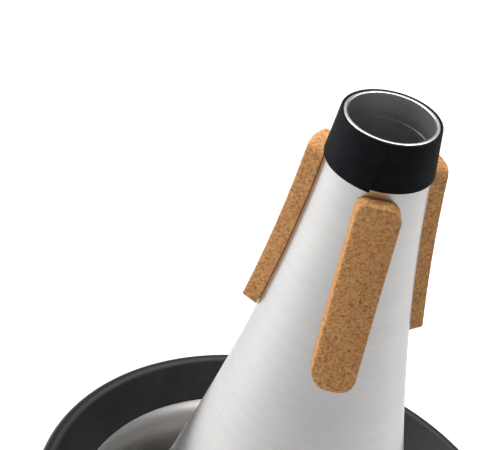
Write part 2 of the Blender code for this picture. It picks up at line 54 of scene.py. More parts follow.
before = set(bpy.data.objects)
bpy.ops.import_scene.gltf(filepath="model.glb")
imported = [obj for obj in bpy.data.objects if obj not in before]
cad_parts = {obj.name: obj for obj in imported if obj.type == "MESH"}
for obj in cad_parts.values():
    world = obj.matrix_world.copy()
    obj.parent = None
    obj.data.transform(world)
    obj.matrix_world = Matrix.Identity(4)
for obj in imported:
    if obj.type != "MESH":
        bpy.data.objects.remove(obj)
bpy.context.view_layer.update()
MM = 0.001

# Places read from the frame
CONE_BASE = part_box("cone")[0].z
CONE_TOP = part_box("cone")[1].z
CONE_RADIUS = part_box("cone")[1].x
CAP_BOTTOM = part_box("end_cap")[0].z
CUP_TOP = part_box("cup_rim_ring")[1].z
CUP_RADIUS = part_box("cup_rim_ring")[1].x
STEM_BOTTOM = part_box("stem")[0].z
STEM_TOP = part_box("stem")[1].z
COLLAR_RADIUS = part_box("stem")[1].x

# Sizes that the frame's boxes don't show
GAP = 0.3 * MM
SKIN_GAP = 0.15 * MM
SHEET = 0.95 * MM
CUP_SHEET = 1.0 * MM
NECK_RADIUS = 11.2 * MM
NECK_LENGTH = 12.0 * MM
NECK_ROOT_RADIUS = 12.45 * MM
NECK_BORE_LENGTH = 14.0 * MM
FLARE_SLOPE_TOP = 0.075
FLARE_SLOPE_BASE = 0.304
SEAM_ROUND = 3.0 * MM
SEAM_LIP = 3.2 * MM
STEM_BORE = 4.3 * MM
LATHE_RADIUS = 20 * MM
VIEW_SIDE = math.radians(-90)


# Outlines


def arc(centre, radius, start, end, steps=8):
    """Points of an arc between two angles in degrees, both ends included."""
    angles = np.radians(np.linspace(start, end, steps + 1))
    return [(centre[0] + radius * math.cos(a), centre[1] + radius * math.sin(a)) for a in angles]


def bezier(p0, p1, p2, p3, steps):
    ends = np.array([p0, p1, p2, p3])
    t = np.linspace(0, 1, steps + 1)[:, None]
    points = (1 - t) ** 3 * ends[0] + 3 * t * (1 - t) ** 2 * ends[1] + 3 * t**2 * (1 - t) * ends[2] + t**3 * ends[3]
    return [tuple(p) for p in points]


def tidy(line):
    """The line without points that repeat the one before them."""
    kept = [line[0]]
    for point in line[1:]:
        if math.dist(point, kept[-1]) > 0.01 * MM:
            kept.append(point)
    return kept


def offset(line, distance):
    """The open line moved to its left as it runs, with mitred corners."""
    points = np.array(line)
    steps = np.diff(points, axis=0)
    steps /= np.linalg.norm(steps, axis=1)[:, None]
    normals = np.column_stack([-steps[:, 1], steps[:, 0]])
    before = np.vstack([normals[:1], normals])
    after = np.vstack([normals, normals[-1:]])
    mitre = before + after
    mitre /= (mitre * before).sum(axis=1)[:, None]
    return [tuple(p) for p in points + distance * mitre]


def sheet_outline(middle, wall):
    """The closed outline of a sheet of this wall, from the line along its middle."""
    line = tidy(middle)
    return offset(line, wall / 2) + offset(line, -wall / 2)[::-1]


def softened(outline, radius, steps=4):
    """The closed outline with each corner turned into a small round."""
    soft = []
    count = len(outline)
    for i, corner in enumerate(outline):
        here = Vector(corner)
        back = Vector(outline[i - 1]) - here
        ahead = Vector(outline[(i + 1) % count]) - here
        reach = min(radius, back.length / 2.2, ahead.length / 2.2)
        start = here + back.normalized() * reach
        end = here + ahead.normalized() * reach
        for t in np.linspace(0, 1, steps + 1):
            soft.append(tuple((1 - t) ** 2 * start + 2 * t * (1 - t) * here + t**2 * end))
    return soft


def flare_radius(depth):
    """Outer radius of the cone at a depth below its narrow end: a straight neck, then one cubic flare."""
    if depth <= NECK_LENGTH:
        return NECK_RADIUS + (NECK_ROOT_RADIUS - NECK_RADIUS) * depth / NECK_LENGTH
    span = CONE_TOP - CONE_BASE - SEAM_ROUND - NECK_LENGTH
    t = (depth - NECK_LENGTH) / span
    return (
        (2 * t**3 - 3 * t**2 + 1) * NECK_ROOT_RADIUS
        + (t**3 - 2 * t**2 + t) * span * FLARE_SLOPE_TOP
        + (3 * t**2 - 2 * t**3) * CONE_RADIUS
        + (t**3 - t**2) * span * FLARE_SLOPE_BASE
    )


def flare_line(first, last, steps):
    return [(flare_radius(d), CONE_TOP - d) for d in np.linspace(first, last, steps + 1)]


# Node trees


class Nodes:
    """Adds nodes to a tree. A value given to a socket is either a plain value or another node's socket."""

    def __init__(self, tree):
        self.tree = tree

    def add(self, kind, sockets=None, **settings):
        node = self.tree.nodes.new(kind)
        for name, value in settings.items():
            setattr(node, name, value)
        for key, value in (sockets or {}).items():
            self.feed(self.socket(node.inputs, key), value)
        return node

    def socket(self, sockets, key):
        if isinstance(key, int):
            return sockets[key]
        for socket in sockets:
            if socket.identifier == key:
                return socket
        return sockets[key]

    def feed(self, socket, value):
        if isinstance(value, bpy.types.NodeSocket):
            self.tree.links.new(value, socket)
        else:
            socket.default_value = value

    def math(self, operation, a, b=0.0, c=0.0):
        return self.add("ShaderNodeMath", {0: a, 1: b, 2: c}, operation=operation).outputs[0]

    def vector(self, x, y, z):
        return self.add("ShaderNodeCombineXYZ", {0: x, 1: y, 2: z}).outputs[0]

    def parts(self, vector):
        return self.add("ShaderNodeSeparateXYZ", {0: vector}).outputs

    def radius_and_turn(self, x, y):
        """Distance from Z and angle round it."""
        squares = self.math("MULTIPLY_ADD", x, x, self.math("MULTIPLY", y, y))
        return self.math("SQRT", squares), self.math("ARCTAN2", y, x)

    def mix(self, factor, a, b):
        sockets = {"Factor_Float": factor, "A_Color": a, "B_Color": b}
        node = self.add("ShaderNodeMix", sockets, data_type="RGBA")
        return self.socket(node.outputs, "Result_Color")

    def ramp(self, value, stops):
        """A colour ramp with (position, colour) stops."""
        node = self.add("ShaderNodeValToRGB", {0: value})
        elements = node.color_ramp.elements
        while len(elements) < len(stops):
            elements.new(0.5)
        for element, (position, colour) in zip(elements, stops):
            element.position = position
            element.color = (*colour, 1)
        return node.outputs[0]

    def spread(self, value, low, high, new_low, new_high):
        sockets = {0: value, 1: low, 2: high, 3: new_low, 4: new_high}
        return self.add("ShaderNodeMapRange", sockets).outputs[0]


def new_tree(kind, name, inputs, outputs):
    """A node group with named sockets; returns its node helper and the sockets of its input node."""
    tree = bpy.data.node_groups.new(name, kind)
    for label, socket_type, default in inputs:
        socket = tree.interface.new_socket(label, in_out="INPUT", socket_type=socket_type)
        if default is not None:
            socket.default_value = default
    for label, socket_type in outputs:
        tree.interface.new_socket(label, in_out="OUTPUT", socket_type=socket_type)
    nodes = Nodes(tree)
    return nodes, nodes.add("NodeGroupInput").outputs


FLOAT = "NodeSocketFloat"
WHOLE = "NodeSocketInt"
SHAPE = "NodeSocketGeometry"
PLACE = "NodeSocketVector"
MATERIAL = "NodeSocketMaterial"


def finish_shape(nodes, shape, finish):
    """Ends a shape's tree: instances made real, smooth faces and the finish."""
    smooth = nodes.add("GeometryNodeSetShadeSmooth", {"Geometry": shape}).outputs[0]
    real = nodes.add("GeometryNodeRealizeInstances", {"Geometry": smooth}).outputs[0]
    done = nodes.add("GeometryNodeSetMaterial", {"Geometry": real, "Material": finish}).outputs[0]
    nodes.add("NodeGroupOutput", {0: done})


def lathe_tree():
    """Turns the outline that it is given round Z, with optional flutes or flat sides on the outside."""
    nodes, given = new_tree(
        "GeometryNodeTree",
        "Turned Piece",
        [
            ("Outline", SHAPE, None),
            ("Segments", WHOLE, 192),
            ("Lathe Radius", FLOAT, LATHE_RADIUS),
            ("Flutes", WHOLE, 0),
            ("Flute Depth", FLOAT, 0.0),
            ("Flute Start", FLOAT, 1.0),
            ("Sides", WHOLE, 0),
            ("Across Flats", FLOAT, 10.0),
            ("Finish", MATERIAL, None),
        ],
        [("Geometry", SHAPE)],
    )
    outline = nodes.add("GeometryNodeMeshToCurve", {0: given["Outline"]}).outputs[0]
    shift = nodes.vector(nodes.math("MULTIPLY", given["Lathe Radius"], -1.0), 0.0, 0.0)
    profile = nodes.add("GeometryNodeTransform", {"Geometry": outline, "Translation": shift}).outputs[0]
    circle = nodes.add(
        "GeometryNodeCurvePrimitiveCircle", {"Resolution": given["Segments"], "Radius": given["Lathe Radius"]}
    ).outputs[0]
    swept = nodes.add("GeometryNodeCurveToMesh", {"Curve": circle, "Profile Curve": profile}).outputs[0]
    joined = nodes.add("GeometryNodeMergeByDistance", {"Geometry": swept, "Distance": 0.001 * MM}).outputs[0]

    x, y, z = nodes.parts(nodes.add("GeometryNodeInputPosition").outputs[0])
    radius, turn = nodes.radius_and_turn(x, y)
    safe_radius = nodes.math("MAXIMUM", radius, 0.01 * MM)
    wave = nodes.math("COSINE", nodes.math("MULTIPLY", turn, given["Flutes"]))
    cut = nodes.math("MULTIPLY", given["Flute Depth"], nodes.math("MULTIPLY_ADD", wave, -0.5, 0.5))
    outside = nodes.math("GREATER_THAN", radius, given["Flute Start"])
    fluted = nodes.math("SUBTRACT", 1.0, nodes.math("DIVIDE", nodes.math("MULTIPLY", cut, outside), safe_radius))
    sides = nodes.math("MAXIMUM", given["Sides"], 1.0)
    sector = nodes.math("DIVIDE", 2 * math.pi, sides)
    within = nodes.math("SUBTRACT", nodes.math("FLOORED_MODULO", turn, sector), nodes.math("DIVIDE", sector, 2.0))
    half_flats = nodes.math("DIVIDE", given["Across Flats"], 2.0)
    reach = nodes.math("DIVIDE", half_flats, nodes.math("COSINE", within))
    flat = nodes.math("MINIMUM", 1.0, nodes.math("DIVIDE", reach, safe_radius))
    has_sides = nodes.math("GREATER_THAN", given["Sides"], 2.0)
    sided = nodes.math("MULTIPLY_ADD", has_sides, nodes.math("SUBTRACT", flat, 1.0), 1.0)
    scale = nodes.math("MULTIPLY", fluted, sided)
    moved = nodes.vector(nodes.math("MULTIPLY", x, scale), nodes.math("MULTIPLY", y, scale), z)
    shape = nodes.add("GeometryNodeSetPosition", {"Geometry": joined, "Position": moved}).outputs[0]
    finish_shape(nodes, shape, given["Finish"])
    return nodes.tree


def thread_tree():
    """Cuts a right-handed thread and two flats into the rod that it is given."""
    nodes, given = new_tree(
        "GeometryNodeTree",
        "Threaded Rod",
        [
            ("Rod", SHAPE, None),
            ("Pitch", FLOAT, 2.0 * MM),
            ("Depth", FLOAT, 0.6 * MM),
            ("Shaft Radius", FLOAT, 4.0 * MM),
            ("Flat", FLOAT, 3.3 * MM),
            ("Collar Bottom", FLOAT, 0.0),
            ("Finish", MATERIAL, None),
        ],
        [("Geometry", SHAPE)],
    )
    x, y, z = nodes.parts(nodes.add("GeometryNodeInputPosition").outputs[0])
    radius, turn = nodes.radius_and_turn(x, y)
    climb = nodes.math("DIVIDE", z, given["Pitch"])
    phase = nodes.math("FRACT", nodes.math("SUBTRACT", climb, nodes.math("DIVIDE", turn, 2 * math.pi)))
    groove = nodes.math("ABSOLUTE", nodes.math("MULTIPLY_ADD", phase, 2.0, -1.0))
    groove = nodes.spread(groove, 0.15, 0.85, 0.0, 1.0)
    on_skin = nodes.math("COMPARE", radius, given["Shaft Radius"], 0.05 * MM)
    cut = nodes.math("MULTIPLY", nodes.math("MULTIPLY", groove, given["Depth"]), on_skin)
    scale = nodes.math("SUBTRACT", 1.0, nodes.math("DIVIDE", cut, nodes.math("MAXIMUM", radius, 0.01 * MM)))
    cut_x = nodes.math("MULTIPLY", x, scale)
    below = nodes.math("LESS_THAN", z, given["Collar Bottom"])
    limit = nodes.math("MULTIPLY_ADD", nodes.math("SUBTRACT", 1.0, below), 1.0, given["Flat"])
    flat_x = nodes.math("MINIMUM", nodes.math("MAXIMUM", cut_x, nodes.math("MULTIPLY", limit, -1.0)), limit)
    moved = nodes.vector(flat_x, nodes.math("MULTIPLY", y, scale), z)
    shape = nodes.add("GeometryNodeSetPosition", {"Geometry": given["Rod"], "Position": moved}).outputs[0]
    finish_shape(nodes, shape, given["Finish"])
    return nodes.tree


def ring_tree():
    """Sets copies of the piece that it is given on a circle round Z."""
    nodes, given = new_tree(
        "GeometryNodeTree",
        "Ring of Copies",
        [
            ("Copy", SHAPE, None),
            ("Count", WHOLE, 3),
            ("Circle Radius", FLOAT, 10 * MM),
            ("First Turn", FLOAT, 0.0),
            ("Finish", MATERIAL, None),
        ],
        [("Geometry", SHAPE)],
    )
    circle = nodes.add("GeometryNodeMeshCircle", {"Vertices": given["Count"], "Radius": given["Circle Radius"]})
    turned_by = nodes.vector(0.0, 0.0, given["First Turn"])
    points = nodes.add("GeometryNodeTransform", {"Geometry": circle.outputs[0], "Rotation": turned_by}).outputs[0]
    copies = nodes.add("GeometryNodeInstanceOnPoints", {"Points": points, "Instance": given["Copy"]}).outputs[0]
    finish_shape(nodes, copies, given["Finish"])
    return nodes.tree


def coil_tree():
    """Winds a wire into a coil that starts at the height it is given."""
    nodes, given = new_tree(
        "GeometryNodeTree",
        "Wound Wire",
        [
            ("Guide", SHAPE, None),
            ("Curls", FLOAT, 6.0),
            ("Coil Radius", FLOAT, 7 * MM),
            ("Height", FLOAT, 20 * MM),
            ("Start", FLOAT, 0.0),
            ("Wire Radius", FLOAT, 0.6 * MM),
            ("Finish", MATERIAL, None),
        ],
        [("Geometry", SHAPE)],
    )
    spiral = nodes.add(
        "GeometryNodeCurveSpiral",
        {
            "Resolution": 40,
            "Rotations": given["Curls"],
            "Start Radius": given["Coil Radius"],
            "End Radius": given["Coil Radius"],
            "Height": given["Height"],
        },
    ).outputs[0]
    raised = nodes.add(
        "GeometryNodeTransform", {"Geometry": spiral, "Translation": nodes.vector(0.0, 0.0, given["Start"])}
    ).outputs[0]
    section = nodes.add("GeometryNodeCurvePrimitiveCircle", {"Resolution": 16, "Radius": given["Wire Radius"]})
    wire = nodes.add(
        "GeometryNodeCurveToMesh", {"Curve": raised, "Profile Curve": section.outputs[0], "Fill Caps": True}
    ).outputs[0]
    finish_shape(nodes, wire, given["Finish"])
    return nodes.tree


TREES = {"lathe": lathe_tree, "thread": thread_tree, "ring": ring_tree, "coil": coil_tree}
built = {}


def shape_tree(kind):
    if kind not in built:
        built[kind] = TREES[kind]()
    return built[kind]


def run_tree(name, mesh, kind, values):
    """A plain mesh object: the mesh after one tree, with the modifier gone."""
    source = bpy.data.objects.new(name, mesh)
    bpy.context.scene.collection.objects.link(source)
    tree = shape_tree(kind)
    modifier = source.modifiers.new(kind, "NODES")
    modifier.node_group = tree
    for item in tree.interface.items_tree:
        if item.in_out == "INPUT" and item.name in values:
            modifier[item.identifier] = values[item.name]
    evaluated = source.evaluated_get(bpy.context.evaluated_depsgraph_get())
    done = bpy.data.meshes.new_from_object(evaluated)
    done.name = name
    source.modifiers.clear()
    source.data = done
    bpy.data.meshes.remove(mesh)
    return source


def outline_mesh(outline, closed=True):
    """Edges along an outline, laid out for the lathe so that faces point outwards."""
    area = sum(a[0] * b[1] - b[0] * a[1] for a, b in zip(outline, outline[1:] + outline[:1]))
    points = outline[::-1] if area > 0 else outline
    count = len(points)
    edges = [(i, (i + 1) % count) for i in range(count if closed else count - 1)]
    mesh = bpy.data.meshes.new("outline")
    mesh.from_pydata([(r, -z, 0.0) for r, z in points], edges, [])
    return mesh


def smooth_edges(piece, angle=32):
    """Smooth shading that keeps the real edges crisp."""
    piece.data.shade_smooth()
    piece.data.set_sharp_from_angle(angle=math.radians(angle))


def seat(piece, body, slot, *nodes):
    """Sets a finished piece on its body, in place of its CAD nodes."""
    smooth_edges(piece)
    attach(piece, body)
    if nodes:
        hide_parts(*nodes)
    return piece


def turned(name, outline, finish, closed=True, **values):
    """A piece turned from a closed outline, or from an open one that starts and ends on the axis."""
    inputs = {key.replace("_", " ").title(): value for key, value in values.items()}
    inputs["Finish"] = finish
    inputs.setdefault("Segments", 192)
    return run_tree(name, outline_mesh(outline, closed), "lathe", inputs)


def mesh_from(bm, name):
    bmesh.ops.recalc_face_normals(bm, faces=bm.faces)
    mesh = bpy.data.meshes.new(name)
    bm.to_mesh(mesh)
    bm.free()
    return mesh


def piece_from(bm, name, finish):
    mesh = mesh_from(bm, name)
    mesh.materials.append(finish)
    piece = bpy.data.objects.new(name, mesh)
    bpy.context.scene.collection.objects.link(piece)
    return piece


# Effects shared by the finishes


def turned_grain_group():
    """Fine rings left by turning: bands along the profile, long round the axis."""
    nodes, given = new_tree(
        "ShaderNodeTree",
        "Turned Grain",
        [("Place", PLACE, None), ("Rings", FLOAT, 2500.0), ("Length", FLOAT, 30.0)],
        [("Grain", FLOAT), ("Broad", FLOAT)],
    )
    x, y, z = nodes.parts(given["Place"])
    radius, _ = nodes.radius_and_turn(x, y)
    side_x = nodes.math("MULTIPLY", x, given["Length"])
    side_y = nodes.math("MULTIPLY", y, given["Length"])
    along = nodes.math("MULTIPLY_ADD", radius, given["Rings"], side_x)
    up = nodes.math("MULTIPLY_ADD", z, given["Rings"], side_y)
    place = nodes.vector(along, up, nodes.math("SUBTRACT", side_x, side_y))
    fine = nodes.add("ShaderNodeTexNoise", {"Vector": place, "Scale": 1.0, "Detail": 3.0, "Roughness": 0.65})
    broad = nodes.add("ShaderNodeTexNoise", {"Vector": place, "Scale": 0.13, "Detail": 2.0})
    nodes.add("NodeGroupOutput", {0: fine.outputs[0], 1: broad.outputs[0]})
    return nodes.tree


def handling_group():
    """Uneven handling: soft smudges and a few fine random scratches."""
    nodes, given = new_tree(
        "ShaderNodeTree",
        "Handling",
        [("Place", PLACE, None), ("Smudge Size", FLOAT, 90.0), ("Scratch Size", FLOAT, 400.0)],
        [("Smudge", FLOAT), ("Scratch", FLOAT)],
    )
    cloud = nodes.add(
        "ShaderNodeTexNoise",
        {"Vector": given["Place"], "Scale": given["Smudge Size"], "Detail": 4.0, "Distortion": 0.6},
    ).outputs[0]
    smudge = nodes.spread(cloud, 0.35, 0.7, 0.0, 1.0)
    bent = nodes.add("ShaderNodeTexNoise", {"Vector": given["Place"], "Scale": given["Scratch Size"], "Detail": 1.0})
    pulled = nodes.add("ShaderNodeVectorMath", {0: bent.outputs[1], 1: (0.004, 0.004, 0.004)}, operation="MULTIPLY")
    place = nodes.add("ShaderNodeVectorMath", {0: given["Place"], 1: pulled.outputs[0]}, operation="ADD").outputs[0]
    cells = nodes.add(
        "ShaderNodeTexVoronoi", {"Vector": place, "Scale": given["Scratch Size"]}, feature="DISTANCE_TO_EDGE"
    ).outputs[0]
    lines = nodes.spread(cells, 0.0, 0.02, 1.0, 0.0)
    scratch = nodes.math("MULTIPLY", lines, nodes.math("GREATER_THAN", cloud, 0.56))
    nodes.add("NodeGroupOutput", {0: smudge, 1: scratch})
    return nodes.tree


def grit_group():
    """Tiny grains of a moulded, flocked or pressed surface, at two sizes."""
    nodes, given = new_tree(
        "ShaderNodeTree",
        "Grit",
        [("Place", PLACE, None), ("Size", FLOAT, 3000.0)],
        [("Fine", FLOAT), ("Coarse", FLOAT)],
    )
    fine = nodes.add("ShaderNodeTexNoise", {"Vector": given["Place"], "Scale": given["Size"], "Detail": 3.0})
    larger = nodes.math("MULTIPLY", given["Size"], 0.22)
    coarse = nodes.add("ShaderNodeTexNoise", {"Vector": given["Place"], "Scale": larger, "Detail": 2.0})
    nodes.add("NodeGroupOutput", {0: fine.outputs[0], 1: coarse.outputs[0]})
    return nodes.tree


EFFECTS = {"grain": turned_grain_group, "handling": handling_group, "grit": grit_group}


def effect(nodes, kind, sockets):
    if kind not in built:
        built[kind] = EFFECTS[kind]()
    node = nodes.tree.nodes.new("ShaderNodeGroup")
    node.node_tree = built[kind]
    for key, value in sockets.items():
        nodes.feed(node.inputs[key], value)
    return node.outputs


def new_material(name, **fixed):
    """A material with its shader's fixed values set; returns it, its helper, the shader and Object coordinates."""
    material = bpy.data.materials.new(name)
    material.use_nodes = True
    nodes = Nodes(material.node_tree)
    shader = material.node_tree.nodes["Principled BSDF"]
    for key, value in fixed.items():
        shader.inputs[key.replace("_", " ").title().replace("Ior", "IOR")].default_value = value
    place = nodes.add("ShaderNodeTexCoord").outputs["Object"]
    return material, nodes, shader, place


def bump(nodes, height, depth, strength=1.0, normal=None):
    sockets = {"Height": height, "Distance": depth, "Strength": strength}
    if normal is not None:
        sockets["Normal"] = normal
    return nodes.add("ShaderNodeBump", sockets).outputs[0]


# Finishes


def spun_metal(name, colour, roughness, rings, depth, bore_radius=None):
    """Bare metal with turning marks; inside a bore of the given radius the marks are deeper and duller."""
    material, nodes, shader, place = new_material(name, metallic=1.0, specular_tint=(0.78, 0.78, 0.78, 1))
    grain = effect(nodes, "grain", {"Place": place, "Rings": rings, "Length": 95.0})
    marks = effect(nodes, "handling", {"Place": place, "Smudge Size": 45.0, "Scratch Size": 260.0})
    level = nodes.math("MULTIPLY_ADD", grain["Grain"], 0.12, roughness - 0.06)
    level = nodes.math("MULTIPLY_ADD", marks["Smudge"], 0.035, level)
    tone = nodes.math("MULTIPLY_ADD", grain["Broad"], 0.08, nodes.math("MULTIPLY", grain["Grain"], 0.18))
    dark = tuple(c * 0.86 for c in colour)
    light = tuple(min(1.0, c * 1.06) for c in colour)
    shade = nodes.ramp(tone, [(0.05, dark), (0.21, light)])
    height = nodes.math("MULTIPLY_ADD", grain["Broad"], 0.2, grain["Grain"])
    normal = bump(nodes, height, depth)
    if bore_radius:
        x, y, _ = nodes.parts(place)
        radius, _ = nodes.radius_and_turn(x, y)
        in_bore = nodes.math("LESS_THAN", radius, bore_radius)
        level = nodes.math("MULTIPLY_ADD", in_bore, 0.16, level)
        deep = effect(nodes, "grain", {"Place": place, "Rings": rings * 0.35, "Length": 20.0})
        grooves = nodes.math("MULTIPLY", deep["Grain"], in_bore)
        normal = bump(nodes, grooves, depth * 5, 1.0, normal)
    nodes.feed(shader.inputs["Base Color"], shade)
    nodes.feed(shader.inputs["Roughness"], level)
    nodes.feed(shader.inputs["Normal"], normal)
    return material


def cork_sheet(name, light, dark):
    """Pressed cork: packed granules of mixed browns, dark bark specks and small open pores."""
    material, nodes, shader, place = new_material(name, specular_ior_level=0.25)
    wobble = nodes.add("ShaderNodeTexNoise", {"Vector": place, "Scale": 900.0, "Detail": 2.0}).outputs[1]
    pull = nodes.add("ShaderNodeVectorMath", {0: wobble, 1: (0.0006,) * 3}, operation="MULTIPLY").outputs[0]
    bent = nodes.add("ShaderNodeVectorMath", {0: place, 1: pull}, operation="ADD").outputs[0]
    granules = nodes.add("ShaderNodeTexVoronoi", {"Vector": bent, "Scale": 2300.0})
    tint = nodes.parts(granules.outputs["Color"])[0]
    bark = nodes.add("ShaderNodeTexVoronoi", {"Vector": bent, "Scale": 1700.0})
    speck = nodes.spread(nodes.parts(bark.outputs["Color"])[1], 0.86, 0.95, 0.0, 1.0)
    edges = nodes.add("ShaderNodeTexVoronoi", {"Vector": bent, "Scale": 2300.0}, feature="DISTANCE_TO_EDGE")
    joint = nodes.spread(edges.outputs[0], 0.0, 0.16, 1.0, 0.0)
    grit = effect(nodes, "grit", {"Place": place, "Size": 5200.0})
    middle = tuple((a + b) / 2 for a, b in zip(light, dark))
    bright = tuple(min(1.0, c * 1.25) for c in light)
    granule = nodes.ramp(tint, [(0.0, dark), (0.3, middle), (0.65, light), (1.0, bright)])
    grained = nodes.mix(nodes.math("MULTIPLY", grit["Fine"], 0.35), granule, (*middle, 1))
    seamed = nodes.mix(nodes.math("MULTIPLY", joint, 0.2), grained, (*(c * 0.45 for c in dark), 1))
    shade = nodes.mix(nodes.math("MULTIPLY", speck, 0.4), seamed, (*(c * 0.35 for c in dark), 1))
    relief = nodes.math("MULTIPLY_ADD", joint, -0.5, nodes.math("MULTIPLY_ADD", speck, -0.8, grit["Fine"]))
    nodes.feed(shader.inputs["Base Color"], shade)
    nodes.feed(shader.inputs["Roughness"], nodes.math("MULTIPLY_ADD", grit["Coarse"], 0.2, 0.72))
    nodes.feed(shader.inputs["Normal"], bump(nodes, relief, 0.12 * MM))
    return material


def flock_tape(name, colour):
    """Short black flock: matte, with a faint bloom and tiny lint."""
    material, nodes, shader, place = new_material(
        name, specular_ior_level=0.08, sheen_weight=0.06, sheen_roughness=0.4
    )
    grit = effect(nodes, "grit", {"Place": place, "Size": 7000.0})
    marks = effect(nodes, "handling", {"Place": place, "Smudge Size": 160.0, "Scratch Size": 700.0})
    nap = nodes.math("MULTIPLY_ADD", marks["Smudge"], 0.35, nodes.math("MULTIPLY", grit["Fine"], 0.8))
    brighter = tuple(c * 2.4 for c in colour)
    nodes.feed(shader.inputs["Base Color"], nodes.ramp(nap, [(0.25, colour), (0.85, brighter)]))
    nodes.feed(shader.inputs["Roughness"], nodes.math("MULTIPLY_ADD", grit["Coarse"], 0.1, 0.86))
    height = nodes.math("MULTIPLY_ADD", grit["Coarse"], 0.7, grit["Fine"])
    nodes.feed(shader.inputs["Normal"], bump(nodes, height, 0.16 * MM))
    return material


def soft_black(name, colour, roughness, grit_size, depth, fixed):
    """Rubber or moulded plastic: one dark colour, a fine skin and uneven gloss from handling."""
    material, nodes, shader, place = new_material(name, **fixed)
    grit = effect(nodes, "grit", {"Place": place, "Size": grit_size})
    marks = effect(nodes, "handling", {"Place": place, "Smudge Size": 60.0, "Scratch Size": 180.0})
    dusty = tuple(c * 1.5 + 0.004 for c in colour)
    mask = nodes.math("MULTIPLY", marks["Smudge"], grit["Coarse"])
    nodes.feed(shader.inputs["Base Color"], nodes.ramp(mask, [(0.1, colour), (0.8, dusty)]))
    level = nodes.math("MULTIPLY_ADD", marks["Smudge"], 0.08, roughness - 0.04)
    nodes.feed(shader.inputs["Roughness"], nodes.math("MULTIPLY_ADD", marks["Scratch"], -0.05, level))
    nodes.feed(shader.inputs["Normal"], bump(nodes, grit["Fine"], depth))
    return material


def turned_nylon(name, colour):
    material, nodes, shader, place = new_material(name)
    grain = effect(nodes, "grain", {"Place": place, "Rings": 1800.0, "Length": 15.0})
    dull = tuple(c * 0.9 for c in colour)
    nodes.feed(shader.inputs["Base Color"], nodes.ramp(grain["Broad"], [(0.3, dull), (0.7, colour)]))
    nodes.feed(shader.inputs["Roughness"], nodes.math("MULTIPLY_ADD", grain["Grain"], 0.15, 0.38))
    nodes.feed(shader.inputs["Normal"], bump(nodes, grain["Grain"], 0.01 * MM))
    return material


def finish(kind):
    """The named finish, made once from the colours in the settings."""
    if kind in built:
        return built[kind]
    colours = bpy.context.scene.mute_finish
    bright = tuple(colours.aluminium)
    steel = tuple(colours.steel)
    if kind == "cone":
        made = spun_metal("spun_aluminium", bright, 0.27, 2600.0, 0.006 * MM, NECK_RADIUS - SHEET + 0.05 * MM)
    elif kind == "cup":
        # Painted light: the cup and end cap take a copy of the cone's aluminium painted 1.35 times lighter, to brighten
        # the bowl's shaded inside
        made = spun_metal("spun_cup_painted_lighter", tuple(c * 1.35 for c in bright), 0.3, 1700.0, 0.006 * MM)
    elif kind == "steel":
        made = spun_metal("plated_steel", steel, 0.24, 3200.0, 0.003 * MM)
    elif kind == "brass":
        made = spun_metal("turned_brass", tuple(colours.brass), 0.27, 3000.0, 0.004 * MM)
    elif kind == "cork":
        made = cork_sheet("cork_sheet", tuple(colours.cork_light), tuple(colours.cork_dark))
    elif kind == "flock":
        made = flock_tape("flock_tape", tuple(colours.flock))
    elif kind == "rubber":
        fixed = {"specular_ior_level": 0.2}
        made = soft_black("rubber_edging", tuple(colours.rubber), 0.44, 2600.0, 0.008 * MM, fixed)
    elif kind == "plastic":
        fixed = {"specular_ior_level": 0.5}
        made = soft_black("moulded_plastic", tuple(colours.plastic), 0.4, 2200.0, 0.025 * MM, fixed)
    elif kind == "nylon":
        made = turned_nylon("turned_nylon", tuple(colours.nylon))
    else:
        raise ValueError(f"no finish named {kind}")
    built[kind] = made
    return made


def refinish(node, kind):
    """Gives a CAD node that stays its finish."""
    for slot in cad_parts[node].material_slots:
        slot.material = finish(kind)


# Settings


class MUTE_PG_sizes(bpy.types.PropertyGroup):
    segments: IntProperty(name="Segments", description="Faces round a large turned piece", default=224, min=48)
    rim_round: FloatProperty(
        name="Rim Round", description="Round of the cone's cut edge", subtype="DISTANCE", default=0.25 * MM
    )
    bore_step: FloatProperty(
        name="Bore Step", description="Depth of the fine step inside the neck", subtype="DISTANCE", default=6.5 * MM
    )
    tape_thickness: FloatProperty(
        name="Tape Thickness", description="Thickness of the neck band", subtype="DISTANCE", default=0.45 * MM
    )
    tape_drop: FloatProperty(
        name="Tape Drop", description="How far the band's end hangs lower", subtype="DISTANCE", default=0.75 * MM
    )
    cork_width: FloatProperty(
        name="Cork Width", description="Width of a cork strip", subtype="DISTANCE", default=10.8 * MM
    )
    cork_length: FloatProperty(
        name="Cork Length", description="Length of a cork strip", subtype="DISTANCE", default=48.4 * MM
    )
    cork_thickness: FloatProperty(
        name="Cork Thickness", description="Thickness of a cork strip", subtype="DISTANCE", default=4.2 * MM
    )
    thread_pitch: FloatProperty(
        name="Thread Pitch", description="Pitch of the adjusting screw", subtype="DISTANCE", default=2.0 * MM
    )
    knob_flutes: IntProperty(name="Knob Flutes", description="Finger flutes round the knob", default=14, min=0)


